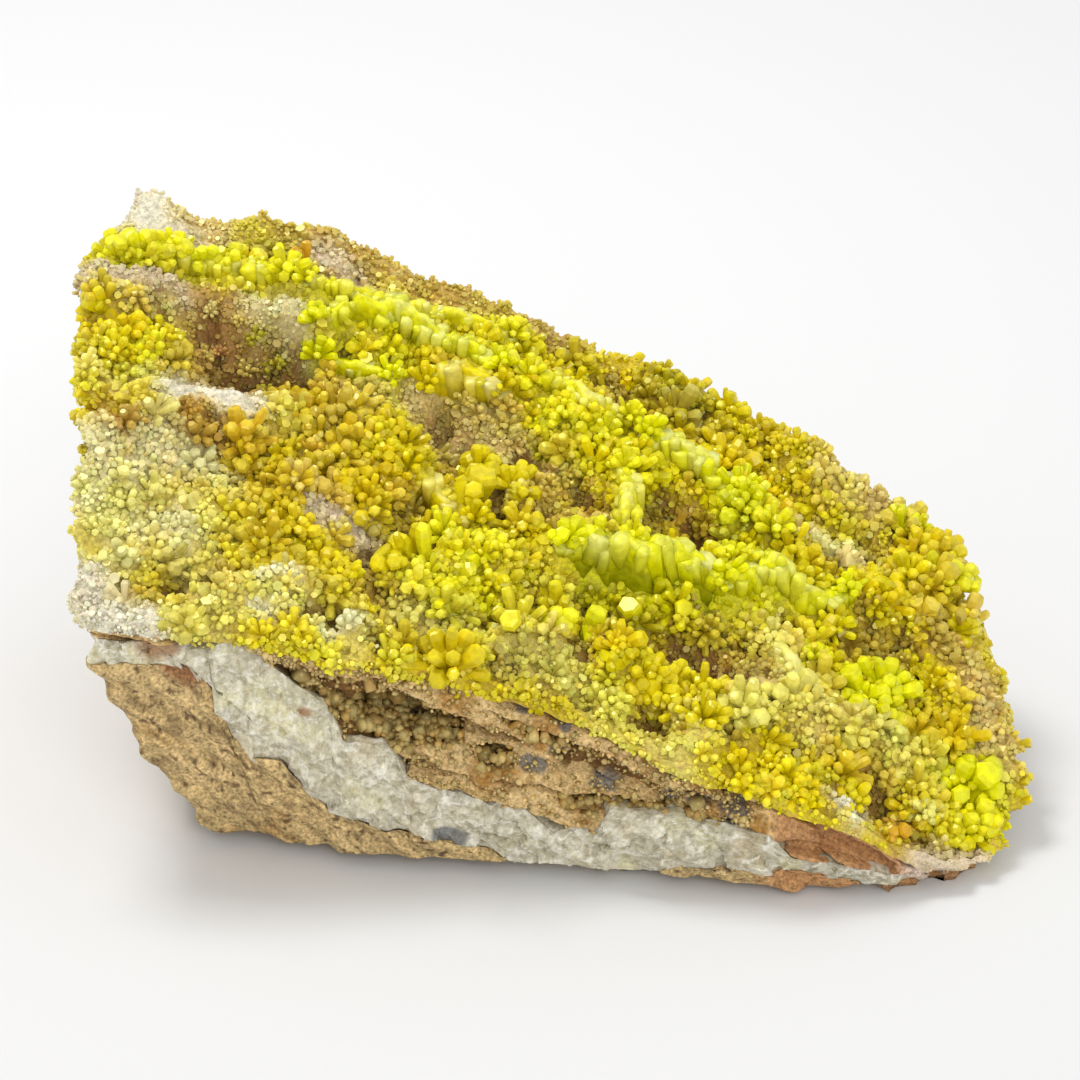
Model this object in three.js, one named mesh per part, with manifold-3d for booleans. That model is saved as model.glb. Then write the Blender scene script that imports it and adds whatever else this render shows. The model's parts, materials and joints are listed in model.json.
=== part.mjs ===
// A hand specimen of pyromorphite: a broken slab of banded rock whose upper face is grown over
// with a druse of hexagonal crystals. From the underside up it is limonite-stained host rock,
// a white quartz vein, thin limonite ledges with open slots between them, and the crystal crust.
// Millimetres, +Z up. The slab rests on flat spots of its underside at z = 0, and its crystal
// face tilts towards -Y and falls towards +X.
import * as THREE from "three";
import { mergeVertices } from "three/addons/utils/BufferGeometryUtils.js";
import Module from "manifold-3d";

// ---- Driving dimensions ----------------------------------------------------------------------

// The crystal face lies on the plane z = level + slopeX x + slopeY y, before its relief.
const FACE = { level: 28.5, slopeX: -0.29, slopeY: 0.38, unevenness: 0.45 };
const SIDE = { bow: 0.035, roughness: 0.026, around: 56, bands: 2, clearance: 9 };
const GAP = 0.3; // between neighbouring layers
const FRONT_Y = -22; // where the layer heights below are read, on the broken front face

// The plan outline of the crystal face and, point for point, of the underside: from the front
// left corner along the front, round the low right end, back along the rear, down the left end.
const RIM = [
  [-42, -25], [-34, -25.3], [-26, -25], [-17, -24.4], [-9, -23.8], [2, -24], [13, -27],
  [24, -28], [31, -27.6], [38, -26], [43.5, -21.5], [45.8, -16], [44.8, -8], [43, 0], [40.5, 6.5],
  [36, 11.4], [29, 15.4], [20, 18.6], [12, 21.6], [3, 22.8], [-8, 25.4], [-17, 27.3], [-26, 27.6],
  [-34, 26], [-41.5, 25.6], [-45.5, 15], [-44.6, 3], [-43.6, -11],
];
const FOOT = [
  [-32, -18.6], [-27, -20], [-22, -21.4], [-15, -23.2], [-9, -24], [2, -25.2], [13, -26.6],
  [24, -27.6], [32, -27.6], [39, -26], [43.6, -22], [45.6, -16.4], [45, -8], [43.6, 1], [41.6, 8],
  [38, 14], [30, 19.4], [21, 23], [12, 26.2], [3, 28.4], [-8, 30.4], [-17, 31.2], [-26, 31],
  [-33, 29.8], [-38, 27], [-40.6, 15], [-38.4, 2], [-35.4, -10],
];

// Layer boundaries as heights along the front face, [x, z]; they rise towards the back.
const QUARTZ_TOP = {
  slopeY: 0.33,
  heights: [[-48, 27], [-34.2, 27.2], [-28.5, 27], [-25.8, 25], [-23.2, 22.8], [-20.2, 20.8],
    [-18.5, 16.5], [-13.7, 15.4], [-12.4, 12], [-9.3, 11.1], [-5.9, 10], [-1.4, 9.4],
    [1.3, 6.7], [5, 7.4], [6.7, 10.3], [12.5, 11.1], [17, 10.2], [21.8, 9.8], [23.6, 7.6],
    [26, 6.4], [31, 5.6], [34, 4.4], [38, 2.4], [48, 1.2]],
};
const HOST_TOP = {
  slopeY: 0.38,
  heights: [[-48, 25], [-41.7, 25], [-37, 25], [-33.4, 24.4], [-31.6, 23.6], [-30.2, 21],
    [-29.1, 16.3], [-27.3, 13.8], [-24.3, 13.2], [-22.8, 11.1], [-20.2, 7.2], [-16.5, 5.8],
    [-10.5, 5.4], [-5, 4.1], [0, 2], [8, 2.6], [12.6, 4.4], [17, 5.2], [23.8, 5.4], [30, 4.2],
    [34, 1.6], [37, -0.4], [48, -2]],
};
const CRUST = { atFront: 1.2, thickens: 0.32, most: 4.6 }; // thickness, and its gain per mm of y

// Ridges of the crystal face, each a line of [x, y] with its height and half width.
const RIDGES = [
  { high: 1.8, wide: 1.8, line: [[-43.5, 16.5], [-39.5, 16.9], [-34.5, 17.7], [-29.5, 17.5]] },
  { high: 2.2, wide: 1.6, line: [[-29, 17.7], [-22.5, 17.6], [-14.5, 17.8], [-7, 18], [-2, 19]] },
  { high: 2.3, wide: 1.6, line: [[-22.5, 12.6], [-17.5, 16.2], [-12.3, 15.6], [-7, 14.4], [-1.5, 12.5]] },
  { high: 2, wide: 2, line: [[-11.5, 9.6], [-7, 11.6], [-3, 10.8]] },
  { high: 2.6, wide: 2.4, line: [[0, 13], [5, 12.1], [10.2, 9.9], [16.3, 6.7], [22.2, 3.5], [27, 0.6]] },
  { high: 3.2, wide: 2.2, line: [[2, -7.5], [6, -5], [10, -6.2], [15, -6.5], [20, -4.8], [31, -3.8]] },
  { high: 2, wide: 1.6, line: [[8.3, 5.3], [8.6, -1], [9, -5.8]] },
  { high: 2.8, wide: 2.6, line: [[-44, 12.2], [-38, 12.6], [-31, 13.2], [-24, 13.2]] },
  { high: 2, wide: 2.2, line: [[-32, -21.5], [-27, -19.8], [-20, -16.6], [-11.5, -14], [-4, -10.5]] },
  { high: 2.2, wide: 1.8, line: [[-5.6, -21], [0, -17.8], [4.8, -16.6], [8, -17.6]] },
  { high: 2, wide: 2.4, line: [[15, -25], [21, -20], [28, -17.4], [34, -18.4]] },
  { high: 1.6, wide: 2, line: [[27, 0.6], [32, -2.2], [36, -3.4], [40, -4.6]] },
  { high: 1.6, wide: 2.4, line: [[16.7, 17], [25, 14.6], [32, 11.6], [37, 7.7], [40, 2]] },
  { high: 2.2, wide: 2.6, line: [[-43, -7.4], [-37.6, -4.4], [-31, 0.6], [-25, 1.6]] },
  { high: 1.8, wide: 3.4, line: [[-24, -8], [-21, 0], [-17, 4.6], [-13, -1]] },
];

// The front left corner and the low right end are worn down, crust and all: [x, y, radius, height].
const WORN = [[-43, -22, 9, -2.6], [41, -24, 9.5, -5.2]];

// Rounded swells (height above 0) and pits (below 0) of the crystal face: [x, y, radius, height].
const SWELLS = [
  [-39.4, 23.6, 3.2, 2], // knob at the back left corner
  [-24, 25, 7, 1.6],
  [-31.6, 8.2, 3.6, -4], // rust-coloured recess under the left hump
  [-24.4, 8.8, 3.2, -3.4],
  [-9, 5.9, 4.6, -2.8],
  [0, 7.4, 3, -2.4],
  [-14.5, -9.4, 2.6, -2.6],
  [16, 1.6, 3, -3.2],
  [5.6, -11, 2.8, -3],
  [-1, -13, 2.4, -2],
  [14.6, -13, 4.4, -3],
  [-32.4, -18, 3, -2.8],
  [-37, -12.6, 2.2, -1.8],
  [31.4, -22.4, 2.8, -2.8],
  [9.4, -22, 3, -1.8],
  [-29.5, -6.2, 2.4, -1.6],
];

// The underside bulges down past the resting surface at these spots, where the surface cuts it
// off flat: [x, y, radius, strength].
const RESTS = [[26, -15, 10, 2.2], [-20, -4, 9, 2.2], [-18, 20, 9, 2.2], [31, 7, 8, 2.2]];
const UNDERSIDE_LIFT = 1.8;

// Open slots between the ledges: outline on the front face as [x, z], and how deep they run.
const SLOTS = [
  { deep: 5, outline: [[-20.6, 22.6], [-14.4, 21.4], [-14.8, 20.7], [-20.2, 21.6]] },
  { deep: 6, outline: [[-23.6, 22.6], [-20.4, 20.8], [-18.4, 20], [-13, 19.4], [-9.3, 18.7], [-6.8, 17.6],
    [-6.9, 15], [-13, 14.6], [-17.6, 15.8], [-20, 18.8]] },
  { deep: 4.5, outline: [[-4.8, 18.6], [-2.6, 17.4], [1.2, 16], [5.4, 14.6], [5.2, 13.8], [0.8, 15],
    [-2.8, 16.3]] },
  { deep: 4.5, outline: [[-6, 15], [-2.6, 14.6], [-2.6, 12.4], [-5.6, 12.2]] },
  { deep: 5.5, outline: [[1.2, 9.4], [6, 10.4], [12.3, 10.2], [18.2, 8], [18.2, 7], [12.3, 8.4], [6.2, 8],
    [3, 8]] },
];
const SLOT_MOUTH_Y = -34; // the slot cutters start outside the rock

const CRYSTAL = { radius: 1.6, length: 2.1, seat: 2.4, rootShare: 0.85 };
const LEAN = { most: 0.5, forward: 0.15 }; // as slopes, away from upright growth on the face
const DRUSE = {
  ridge: { pitch: 5.4, shift: 0.6, size: 1.25 },
  between: { pitch: 9.1, shift: 3, size: 0.85, below: 0.8 }, // only where ridges rise less than this
  sizeSpread: 0.28,
  rimMargin: 1.2,
};

// Crystals that stand out from the druse: [x, y, radius, length, lean in x, lean in y].
const STANDING = [
  [-13.6, -12.4, 1.1, 4.8, -0.25, -0.35],
  [-10.9, -12.6, 0.7, 3.8, 0.1, -0.3],
  [9.6, -13.6, 1.5, 3.6, 0.5, -0.8],
  [3.6, -16.4, 1.3, 3.4, 0.55, -0.3],
  [-7.4, 2.6, 1.1, 3.6, -0.5, -0.5],
  [-4.8, 1.6, 0.9, 3.2, 0.5, -0.5],
  [33, -11.4, 2, 3.4, 0.1, -0.3],
  [42.2, -17.6, 2.1, 3.2, 0.5, -0.4],
  [40.4, -15.6, 1.7, 3.4, 0.1, -0.1],
  [33.6, -25.4, 1.5, 2.4, 0.1, -0.9],
  [41.4, 3.6, 1.7, 2.6, 0.7, 0.2],
  [-39.4, 23.2, 1.9, 1.6, 0.1, 0.1],
];

// ---- The form of the rock --------------------------------------------------------------------

// A fixed irregular wave, between about -1 and 1, that roughens the broken surfaces.
function ripple(x, y, z) {
  return (
    (Math.sin(x * 0.61 + y * 0.23 + 1.3) +
      Math.sin(y * 0.74 - x * 0.31 + z * 0.42) +
      Math.sin(z * 0.83 + x * 0.52 + 2.1) +
      Math.sin((x + y) * 1.37 + z * 1.1)) / 4
  );
}

// Distance in plan from a point to a line of points.
function distanceTo(line, x, y) {
  let least = Infinity;
  for (let i = 1; i < line.length; i++) {
    const [ax, ay] = line[i - 1];
    const [bx, by] = line[i];
    const run = (bx - ax) ** 2 + (by - ay) ** 2;
    const t = THREE.MathUtils.clamp(((x - ax) * (bx - ax) + (y - ay) * (by - ay)) / run, 0, 1);
    least = Math.min(least, Math.hypot(x - ax - t * (bx - ax), y - ay - t * (by - ay)));
  }
  return least;
}

// Height of the tallest ridge at a point.
function ridgeHeight(x, y) {
  const rise = ({ high, wide, line }) => high * Math.exp(-((distanceTo(line, x, y) / wide) ** 2));
  return Math.max(...RIDGES.map(rise));
}

function planeHeight(x, y) {
  return FACE.level + FACE.slopeX * x + FACE.slopeY * y;
}

// Sum of round bumps, each [x, y, radius, height].
function bumps(list, x, y) {
  const rise = ([bx, by, radius, height]) => height * Math.exp(-((Math.hypot(x - bx, y - by) / radius) ** 2));
  return list.reduce((sum, bump) => sum + rise(bump), 0);
}

// The crystal face: its plane, worn ends, swells and pits, ridges, and a shallow unevenness.
function faceHeight(x, y) {
  const rise = bumps(WORN, x, y) + bumps(SWELLS, x, y) + ridgeHeight(x, y);
  return planeHeight(x, y) + rise + FACE.unevenness * ripple(x * 1.6, y * 1.6, 0);
}

// The underside: lifted off the surface except at the rests, where it is flat at z = 0.
function underHeight(x, y) {
  return Math.max(0, UNDERSIDE_LIFT * (1 - bumps(RESTS, x, y)) + 0.5 * ripple(x, y, 3));
}

// A closed outline at the share turn of its points, straight between them.
function along(outline, turn) {
  const at = (((turn % 1) + 1) % 1) * outline.length;
  const i = Math.floor(at) % outline.length;
  const [ax, ay] = outline[i];
  const [bx, by] = outline[(i + 1) % outline.length];
  return [ax + (at - Math.floor(at)) * (bx - ax), ay + (at - Math.floor(at)) * (by - ay)];
}

// A point of the broken sides: from the foot (up = 0) to the rim (up = 1), bowed out between.
function sidePoint(turn, up) {
  const [rimX, rimY] = along(RIM, turn);
  const [footX, footY] = along(FOOT, turn);
  const z = THREE.MathUtils.lerp(underHeight(footX, footY), faceHeight(rimX, rimY), up);
  const bow = 1 + SIDE.bow * Math.sin(Math.PI * up) + SIDE.roughness * ripple(rimX, rimY, z * 1.4);
  const x = THREE.MathUtils.lerp(footX, rimX, up) * bow;
  const y = THREE.MathUtils.lerp(footY, rimY, up) * bow;
  return [x, y, z];
}

// A layer boundary: its front heights, straight between points, rising towards the back.
function boundary({ slopeY, heights }) {
  return (x, y) => {
    const i = THREE.MathUtils.clamp(heights.findIndex(([hx]) => hx > x), 1, heights.length - 1);
    const [ax, az] = heights[i - 1];
    const [bx, bz] = heights[i];
    return az + ((x - ax) / (bx - ax)) * (bz - az) + slopeY * (y - FRONT_Y);
  };
}

function crustBase(x, y) {
  const thickness = THREE.MathUtils.clamp(
    CRUST.atFront + CRUST.thickens * (y - FRONT_Y),
    CRUST.atFront,
    CRUST.most,
  );
  return planeHeight(x, y) + bumps(WORN, x, y) - thickness;
}

// ---- Solids ----------------------------------------------------------------------------------

const wasm = await Module();
wasm.setup();

function solidOf(geometry) {
  const bare = geometry.clone();
  bare.deleteAttribute("normal");
  bare.deleteAttribute("uv");
  const merged = mergeVertices(bare, 1e-4);
  return new wasm.Manifold(
    new wasm.Mesh({
      numProp: 3,
      vertProperties: new Float32Array(merged.attributes.position.array),
      triVerts: new Uint32Array(merged.index.array),
    }),
  );
}

// Moves every vertex of a geometry to where place(x, y, z) says.
function shaped(geometry, place) {
  const position = geometry.getAttribute("position");
  for (let i = 0; i < position.count; i++) {
    position.setXYZ(i, ...place(position.getX(i), position.getY(i), position.getZ(i)));
  }
  return geometry;
}

const BLOCK = { width: 104, depth: 70, centreY: 2, bottom: -12 };

// Everything below a height function of x and y, which is sampled on a grid of columns by rows.
function below(height, columns, rows) {
  const box = new THREE.BoxGeometry(BLOCK.width, BLOCK.depth, 2, columns, rows, 1);
  return solidOf(
    shaped(box, (x, y, z) => [
      x,
      y + BLOCK.centreY,
      z < 0 ? BLOCK.bottom : height(x, y + BLOCK.centreY),
    ]),
  );
}

// The rock inside its broken sides, carried past the face and the underside by a clearance.
function sides() {
  const levels = SIDE.bands + 2;
  const drum = new THREE.CylinderGeometry(1, 1, 1, SIDE.around, levels).rotateX(Math.PI / 2);
  return solidOf(
    shaped(drum, (x, y, z) => {
      const level = Math.round((z + 0.5) * levels); // the first and the last carry the clearance
      const up = THREE.MathUtils.clamp((level - 1) / SIDE.bands, 0, 1);
      const beyond = SIDE.clearance * (level === levels ? 1 : level === 0 ? -1 : 0);
      if (Math.hypot(x, y) < 0.5) {
        return [0, 0, up * FACE.level + beyond];
      }
      const turn = Math.round((Math.atan2(y, x) / (2 * Math.PI)) * SIDE.around) / SIDE.around;
      const [sideX, sideY, sideZ] = sidePoint(turn, up);
      return [sideX, sideY, sideZ + beyond];
    }),
  );
}

function slotCutter({ deep, outline }) {
  const shape = new THREE.Shape(outline.map(([x, z]) => new THREE.Vector2(x, z)));
  const back = FRONT_Y + deep;
  const depth = back - SLOT_MOUTH_Y;
  const cutter = new THREE.ExtrudeGeometry(shape, { depth, bevelEnabled: false });
  return solidOf(shaped(cutter, (x, z, run) => [x, back - run, z]));
}

// A hexagonal prism seated below z = 0 and widening a little towards its flat end.
function crystalGeometry(radius, length) {
  const corners = Array.from({ length: 6 }, (_, i) => (i * Math.PI) / 3);
  const hexagon = new THREE.Shape(
    corners.map((turn) => new THREE.Vector2(radius * Math.cos(turn), radius * Math.sin(turn))),
  );
  const depth = length + CRYSTAL.seat;
  const prism = new THREE.ExtrudeGeometry(hexagon, { depth, bevelEnabled: false });
  return shaped(prism, (x, y, z) => {
    const widening = z > 0 ? 1 : CRYSTAL.rootShare;
    return [x * widening, y * widening, z - CRYSTAL.seat];
  });
}

function crystalSolid(x, y, radius, length, leanX, leanY, spin) {
  const growth = new THREE.Vector3(leanX - FACE.slopeX, leanY - FACE.slopeY, 1).normalize();
  const stand = new THREE.Quaternion().setFromUnitVectors(new THREE.Vector3(0, 0, 1), growth);
  const geometry = crystalGeometry(radius, length).rotateZ(spin).applyQuaternion(stand);
  return solidOf(geometry.translate(x, y, faceHeight(x, y)));
}

// Repeatable random numbers from 0 to 1.
function randomFrom(seed) {
  let state = seed;
  return () => {
    state = (Math.imul(state, 1664525) + 1013904223) >>> 0;
    return state / 2 ** 32;
  };
}

function insideRim(x, y, margin) {
  let inside = false;
  RIM.forEach(([ax, ay], i) => {
    const [bx, by] = RIM[(i + 1) % RIM.length];
    if (ay > y !== by > y && x < ax + ((y - ay) / (by - ay)) * (bx - ax)) {
      inside = !inside;
    }
  });
  return inside && distanceTo([...RIM, RIM[0]], x, y) > margin;
}

// The druse: crystals in a row along every ridge, leaning every way, and smaller ones scattered
// over the face between them, one to each cell of a plan grid.
function druse() {
  const random = randomFrom(7);
  const spread = (most) => most * (2 * random() - 1);
  const crystals = STANDING.map((standing) => crystalSolid(...standing, random()));

  function grow(x, y, scale) {
    const size = scale * (1 + spread(DRUSE.sizeSpread));
    const leans = [spread(LEAN.most), spread(LEAN.most) - LEAN.forward];
    const spin = random() * Math.PI;
    if (insideRim(x, y, DRUSE.rimMargin)) {
      crystals.push(crystalSolid(x, y, CRYSTAL.radius * size, CRYSTAL.length * size, ...leans, spin));
    }
  }

  const { ridge, between } = DRUSE;
  RIDGES.forEach(({ line }) => {
    const path = new THREE.CatmullRomCurve3(line.map(([x, y]) => new THREE.Vector3(x, y, 0)));
    const steps = Math.round(path.getLength() / ridge.pitch);
    path.getSpacedPoints(steps).forEach((at) => {
      grow(at.x + spread(ridge.shift), at.y + spread(ridge.shift), ridge.size);
    });
  });
  for (let cellX = -46; cellX < 48; cellX += between.pitch) {
    for (let cellY = -29; cellY < 30; cellY += between.pitch) {
      const x = cellX + spread(between.shift);
      const y = cellY + spread(between.shift);
      if (ridgeHeight(x, y) < between.below) {
        grow(x, y, between.size);
      }
    }
  }
  return wasm.Manifold.union(crystals);
}

// ---- The specimen ----------------------------------------------------------------------------

const largest = (solid) => solid.decompose().reduce((a, b) => (b.volume() > a.volume() ? b : a));

function geometryOf(solid) {
  const mesh = solid.getMesh();
  const geometry = new THREE.BufferGeometry();
  geometry.setAttribute("position", new THREE.BufferAttribute(new Float32Array(mesh.vertProperties), 3));
  geometry.setIndex(new THREE.BufferAttribute(new Uint32Array(mesh.triVerts), 1));
  return geometry;
}

function piece(name, solid, color, roughness) {
  const material = new THREE.MeshStandardMaterial({ color, roughness, metalness: 0, flatShading: true });
  const mesh = new THREE.Mesh(geometryOf(largest(solid)), material);
  mesh.name = name;
  return mesh;
}

// A layer is the rock within its own top and over the top of the layer under it. The rock under
// the crust ends at the crust's underside.
const LAYERS = {
  host: { top: boundary(HOST_TOP), columns: 24, rows: 1 },
  quartz: { top: boundary(QUARTZ_TOP), columns: 24, rows: 1 },
  ledges: { top: crustBase, columns: 10, rows: 7 },
};
const within = ({ top, columns, rows }) => below((x, y) => top(x, y) - GAP / 2, columns, rows);
const under = ({ top, columns, rows }) => below((x, y) => top(x, y) + GAP / 2, columns, rows);

const rock = sides().intersect(below(faceHeight, 24, 16)).subtract(below(underHeight, 20, 13));
const slots = wasm.Manifold.union(SLOTS.map(slotCutter));

const underCrust = within(LAYERS.ledges);
const hostRock = rock.intersect(underCrust).intersect(within(LAYERS.host));
const quartzVein = rock
  .intersect(underCrust)
  .intersect(within(LAYERS.quartz))
  .subtract(under(LAYERS.host));
const limoniteLedges = rock
  .intersect(underCrust)
  .subtract(under(LAYERS.host))
  .subtract(under(LAYERS.quartz))
  .subtract(slots);
const pyromorphiteCrust = rock.add(druse()).subtract(under(LAYERS.ledges)).subtract(slots);

const specimen = new THREE.Group();
specimen.add(
  piece("host_rock", hostRock, 0xa8824e, 0.95),
  piece("quartz_vein", quartzVein, 0xd8d4c6, 0.5),
  piece("limonite_ledges", limoniteLedges, 0xb08448, 0.92),
  piece("pyromorphite_crust", pyromorphiteCrust, 0xc2c21a, 0.35),
);

// The origin is the middle of the specimen's plan box, on the resting surface.
const box = new THREE.Box3().setFromObject(specimen);
specimen.position.set(-(box.min.x + box.max.x) / 2, -(box.min.y + box.max.y) / 2, -box.min.z);

export default specimen;
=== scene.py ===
"""A pyromorphite hand specimen: a slab of banded rock under a druse of hexagonal crystals.

Every form is worked out in the drawing's millimetres, whose origin is the middle of the rock's
outline, and is moved to the part's own frame, in metres, when it becomes a mesh. The rock is
four layers (host rock, quartz vein, limonite ledges, crystal crust) that share one set of
curved sides. Crystals are six-sided prisms of a few profiles, computed as whole arrays and
joined by the thousand. Each noise and each set of random draws has its own fixed seed, so that
the specimen comes out the same every time.
"""

import json
import math

import bpy
import numpy as np
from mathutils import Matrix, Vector


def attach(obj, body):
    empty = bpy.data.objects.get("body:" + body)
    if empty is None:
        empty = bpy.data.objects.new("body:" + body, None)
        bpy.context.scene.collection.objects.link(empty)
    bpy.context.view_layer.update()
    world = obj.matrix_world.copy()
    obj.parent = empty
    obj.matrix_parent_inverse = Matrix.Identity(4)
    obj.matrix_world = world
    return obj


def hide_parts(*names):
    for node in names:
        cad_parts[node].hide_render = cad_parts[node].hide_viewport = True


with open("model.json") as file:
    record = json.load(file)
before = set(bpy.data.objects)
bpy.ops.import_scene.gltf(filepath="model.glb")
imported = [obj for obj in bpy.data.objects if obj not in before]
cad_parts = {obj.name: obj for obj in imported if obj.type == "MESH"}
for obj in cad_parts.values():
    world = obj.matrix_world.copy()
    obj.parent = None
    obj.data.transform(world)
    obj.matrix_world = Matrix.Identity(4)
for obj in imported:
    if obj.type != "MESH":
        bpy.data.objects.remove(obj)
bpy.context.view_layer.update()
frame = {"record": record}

# ---- Driving dimensions, in millimetres ------------------------------------------------------

# The first resting spot of the underside, which is where the part's own mount is, and the way
# from the drawing's frame to the part's.
REST_SPOT = np.array([26.0, -15.0, 0.0])
SHIFT = np.array(frame["record"]["mounts"][0]["pos_m"]) * 1000 - REST_SPOT

# The crystal face: its height at the origin, its rise for each millimetre of x and y, and the
# height of its ripple.
FACE_LEVEL = 28.5
FACE_SLOPE_X = -0.29
FACE_SLOPE_Y = 0.38
FACE_UNEVENNESS = 0.45

# How far the sides bow out and how rough they are, as shares of their distance from the middle.
SIDE_BOW = 0.035
SIDE_ROUGHNESS = 0.026

# The front that the layers' heights are given for.
FRONT_Y = -22.0

# Plan outlines of the top edge and the foot, both from the front left corner anticlockwise.
RIM = np.array([
    (-42, -25), (-34, -25.3), (-26, -25), (-17, -24.4), (-9, -23.8), (2, -24), (13, -27),
    (24, -28), (31, -27.6), (38, -26), (43.5, -21.5), (45.8, -16), (44.8, -8), (43, 0),
    (40.5, 6.5), (36, 11.4), (29, 15.4), (20, 18.6), (12, 21.6), (3, 22.8), (-8, 25.4),
    (-17, 27.3), (-26, 27.6), (-34, 26), (-41.5, 25.6), (-45.5, 15), (-44.6, 3), (-43.6, -11),
])
FOOT = np.array([
    (-32, -18.6), (-27, -20), (-22, -21.4), (-15, -23.2), (-9, -24), (2, -25.2), (13, -26.6),
    (24, -27.6), (32, -27.6), (39, -26), (43.6, -22), (45.6, -16.4), (45, -8), (43.6, 1),
    (41.6, 8), (38, 14), (30, 19.4), (21, 23), (12, 26.2), (3, 28.4), (-8, 30.4), (-17, 31.2),
    (-26, 31), (-33, 29.8), (-38, 27), (-40.6, 15), (-38.4, 2), (-35.4, -10),
])
# The four corners of the crystal face, as shares of the way round the outline.
CORNER_TURNS = (0.0, 9.5 / 28, 15.5 / 28, 24 / 28)

# Tops of the quartz and of the host rock: rise for each millimetre back, and x, z at the front.
QUARTZ_TOP = (0.33, [
    (-48, 27), (-34.2, 27.2), (-28.5, 27), (-25.8, 25), (-23.2, 22.8), (-20.2, 20.8),
    (-18.5, 16.5), (-13.7, 15.4), (-12.4, 12), (-9.3, 11.1), (-5.9, 10), (-1.4, 9.4), (1.3, 6.7),
    (5, 7.4), (6.7, 10.3), (12.5, 11.1), (17, 10.2), (21.8, 9.8), (23.6, 7.6), (26, 6.4),
    (31, 5.6), (34, 4.4), (38, 2.4), (48, 1.2),
])
HOST_TOP = (0.38, [
    (-48, 25), (-41.7, 25), (-37, 25), (-33.4, 24.4), (-31.6, 23.6), (-30.2, 21), (-29.1, 16.3),
    (-27.3, 13.8), (-24.3, 13.2), (-22.8, 11.1), (-20.2, 7.2), (-16.5, 5.8), (-10.5, 5.4),
    (-5, 4.1), (0, 2), (8, 2.6), (12.6, 4.4), (17, 5.2), (23.8, 5.4), (30, 4.2), (34, 1.6),
    (37, -0.4), (48, -2),
])
# The crust's thickness at the front, what it gains for each millimetre back, and its most.
CRUST_AT_FRONT = 1.2
CRUST_THICKENS = 0.32
CRUST_MOST = 4.6

# How far the tops of the layers sink just inside the rim, and then once more to the middle.
INNER_SINK = 3.2
MIDDLE_SINK = 3.0

# Ridges of the crystal face: height, half width and plan line.
RIDGES = [
    (1.8, 1.8, [(-43.5, 16.5), (-39.5, 16.9), (-34.5, 17.7), (-29.5, 17.5)]),
    (2.2, 1.6, [(-29, 17.7), (-22.5, 17.6), (-14.5, 17.8), (-7, 18), (-2, 19)]),
    (2.3, 1.6, [(-22.5, 12.6), (-17.5, 16.2), (-12.3, 15.6), (-7, 14.4), (-1.5, 12.5)]),
    (2.0, 2.0, [(-11.5, 9.6), (-7, 11.6), (-3, 10.8)]),
    (2.6, 2.4, [(0, 13), (5, 12.1), (10.2, 9.9), (16.3, 6.7), (22.2, 3.5), (27, 0.6)]),
    (3.2, 2.2, [(2, -7.5), (6, -5), (10, -6.2), (15, -6.5), (20, -4.8), (31, -3.8)]),
    (2.0, 1.6, [(8.3, 5.3), (8.6, -1), (9, -5.8)]),
    (2.8, 2.6, [(-44, 12.2), (-38, 12.6), (-31, 13.2), (-24, 13.2)]),
    (2.0, 2.2, [(-32, -21.5), (-27, -19.8), (-20, -16.6), (-11.5, -14), (-4, -10.5)]),
    (2.2, 1.8, [(-5.6, -21), (0, -17.8), (4.8, -16.6), (8, -17.6)]),
    (2.0, 2.4, [(15, -25), (21, -20), (28, -17.4), (34, -18.4)]),
    (1.6, 2.0, [(27, 0.6), (32, -2.2), (36, -3.4), (40, -4.6)]),
    (1.6, 2.4, [(16.7, 17), (25, 14.6), (32, 11.6), (37, 7.7), (40, 2)]),
    (2.2, 2.6, [(-43, -7.4), (-37.6, -4.4), (-31, 0.6), (-25, 1.6)]),
    (1.8, 3.4, [(-24, -8), (-21, 0), (-17, 4.6), (-13, -1)]),
]
# Worn ends, then swells and (below zero) pits: x, y, radius, height.
WORN = [(-43, -22, 9, -2.6), (41, -24, 9.5, -5.2)]
SWELLS = [
    (-39.4, 23.6, 3.2, 2), (-24, 25, 7, 1.6), (-31.6, 8.2, 3.6, -4), (-24.4, 8.8, 3.2, -3.4),
    (-9, 5.9, 4.6, -2.8), (0, 7.4, 3, -2.4), (-14.5, -9.4, 2.6, -2.6), (16, 1.6, 3, -3.2),
    (5.6, -11, 2.8, -3), (-1, -13, 2.4, -2), (14.6, -13, 4.4, -3), (-32.4, -18, 3, -2.8),
    (-37, -12.6, 2.2, -1.8), (31.4, -22.4, 2.8, -2.8), (9.4, -22, 3, -1.8),
    (-29.5, -6.2, 2.4, -1.6),
]
# The underside is lifted by this much, less where a resting spot (x, y, radius, share of the
# lift taken back) holds it down.
UNDERSIDE_LIFT = 1.8
RESTS = [(26, -15, 10, 2.2), (-20, -4, 9, 2.2), (-18, 20, 9, 2.2), (31, 7, 8, 2.2)]

# Open slots between the ledges: depth, and outline on the front face as x, z.
SLOTS = [
    (5, [(-20.6, 22.6), (-14.4, 21.4), (-14.8, 20.7), (-20.2, 21.6)]),
    (6, [(-23.6, 22.6), (-20.4, 20.8), (-18.4, 20), (-13, 19.4), (-9.3, 18.7), (-6.8, 17.6),
         (-6.9, 15), (-13, 14.6), (-17.6, 15.8), (-20, 18.8)]),
    (4.5, [(-4.8, 18.6), (-2.6, 17.4), (1.2, 16), (5.4, 14.6), (5.2, 13.8), (0.8, 15),
           (-2.8, 16.3)]),
    (4.5, [(-6, 15), (-2.6, 14.6), (-2.6, 12.4), (-5.6, 12.2)]),
    (5.5, [(1.2, 9.4), (6, 10.4), (12.3, 10.2), (18.2, 8), (18.2, 7), (12.3, 8.4), (6.2, 8),
           (3, 8)]),
]

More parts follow.
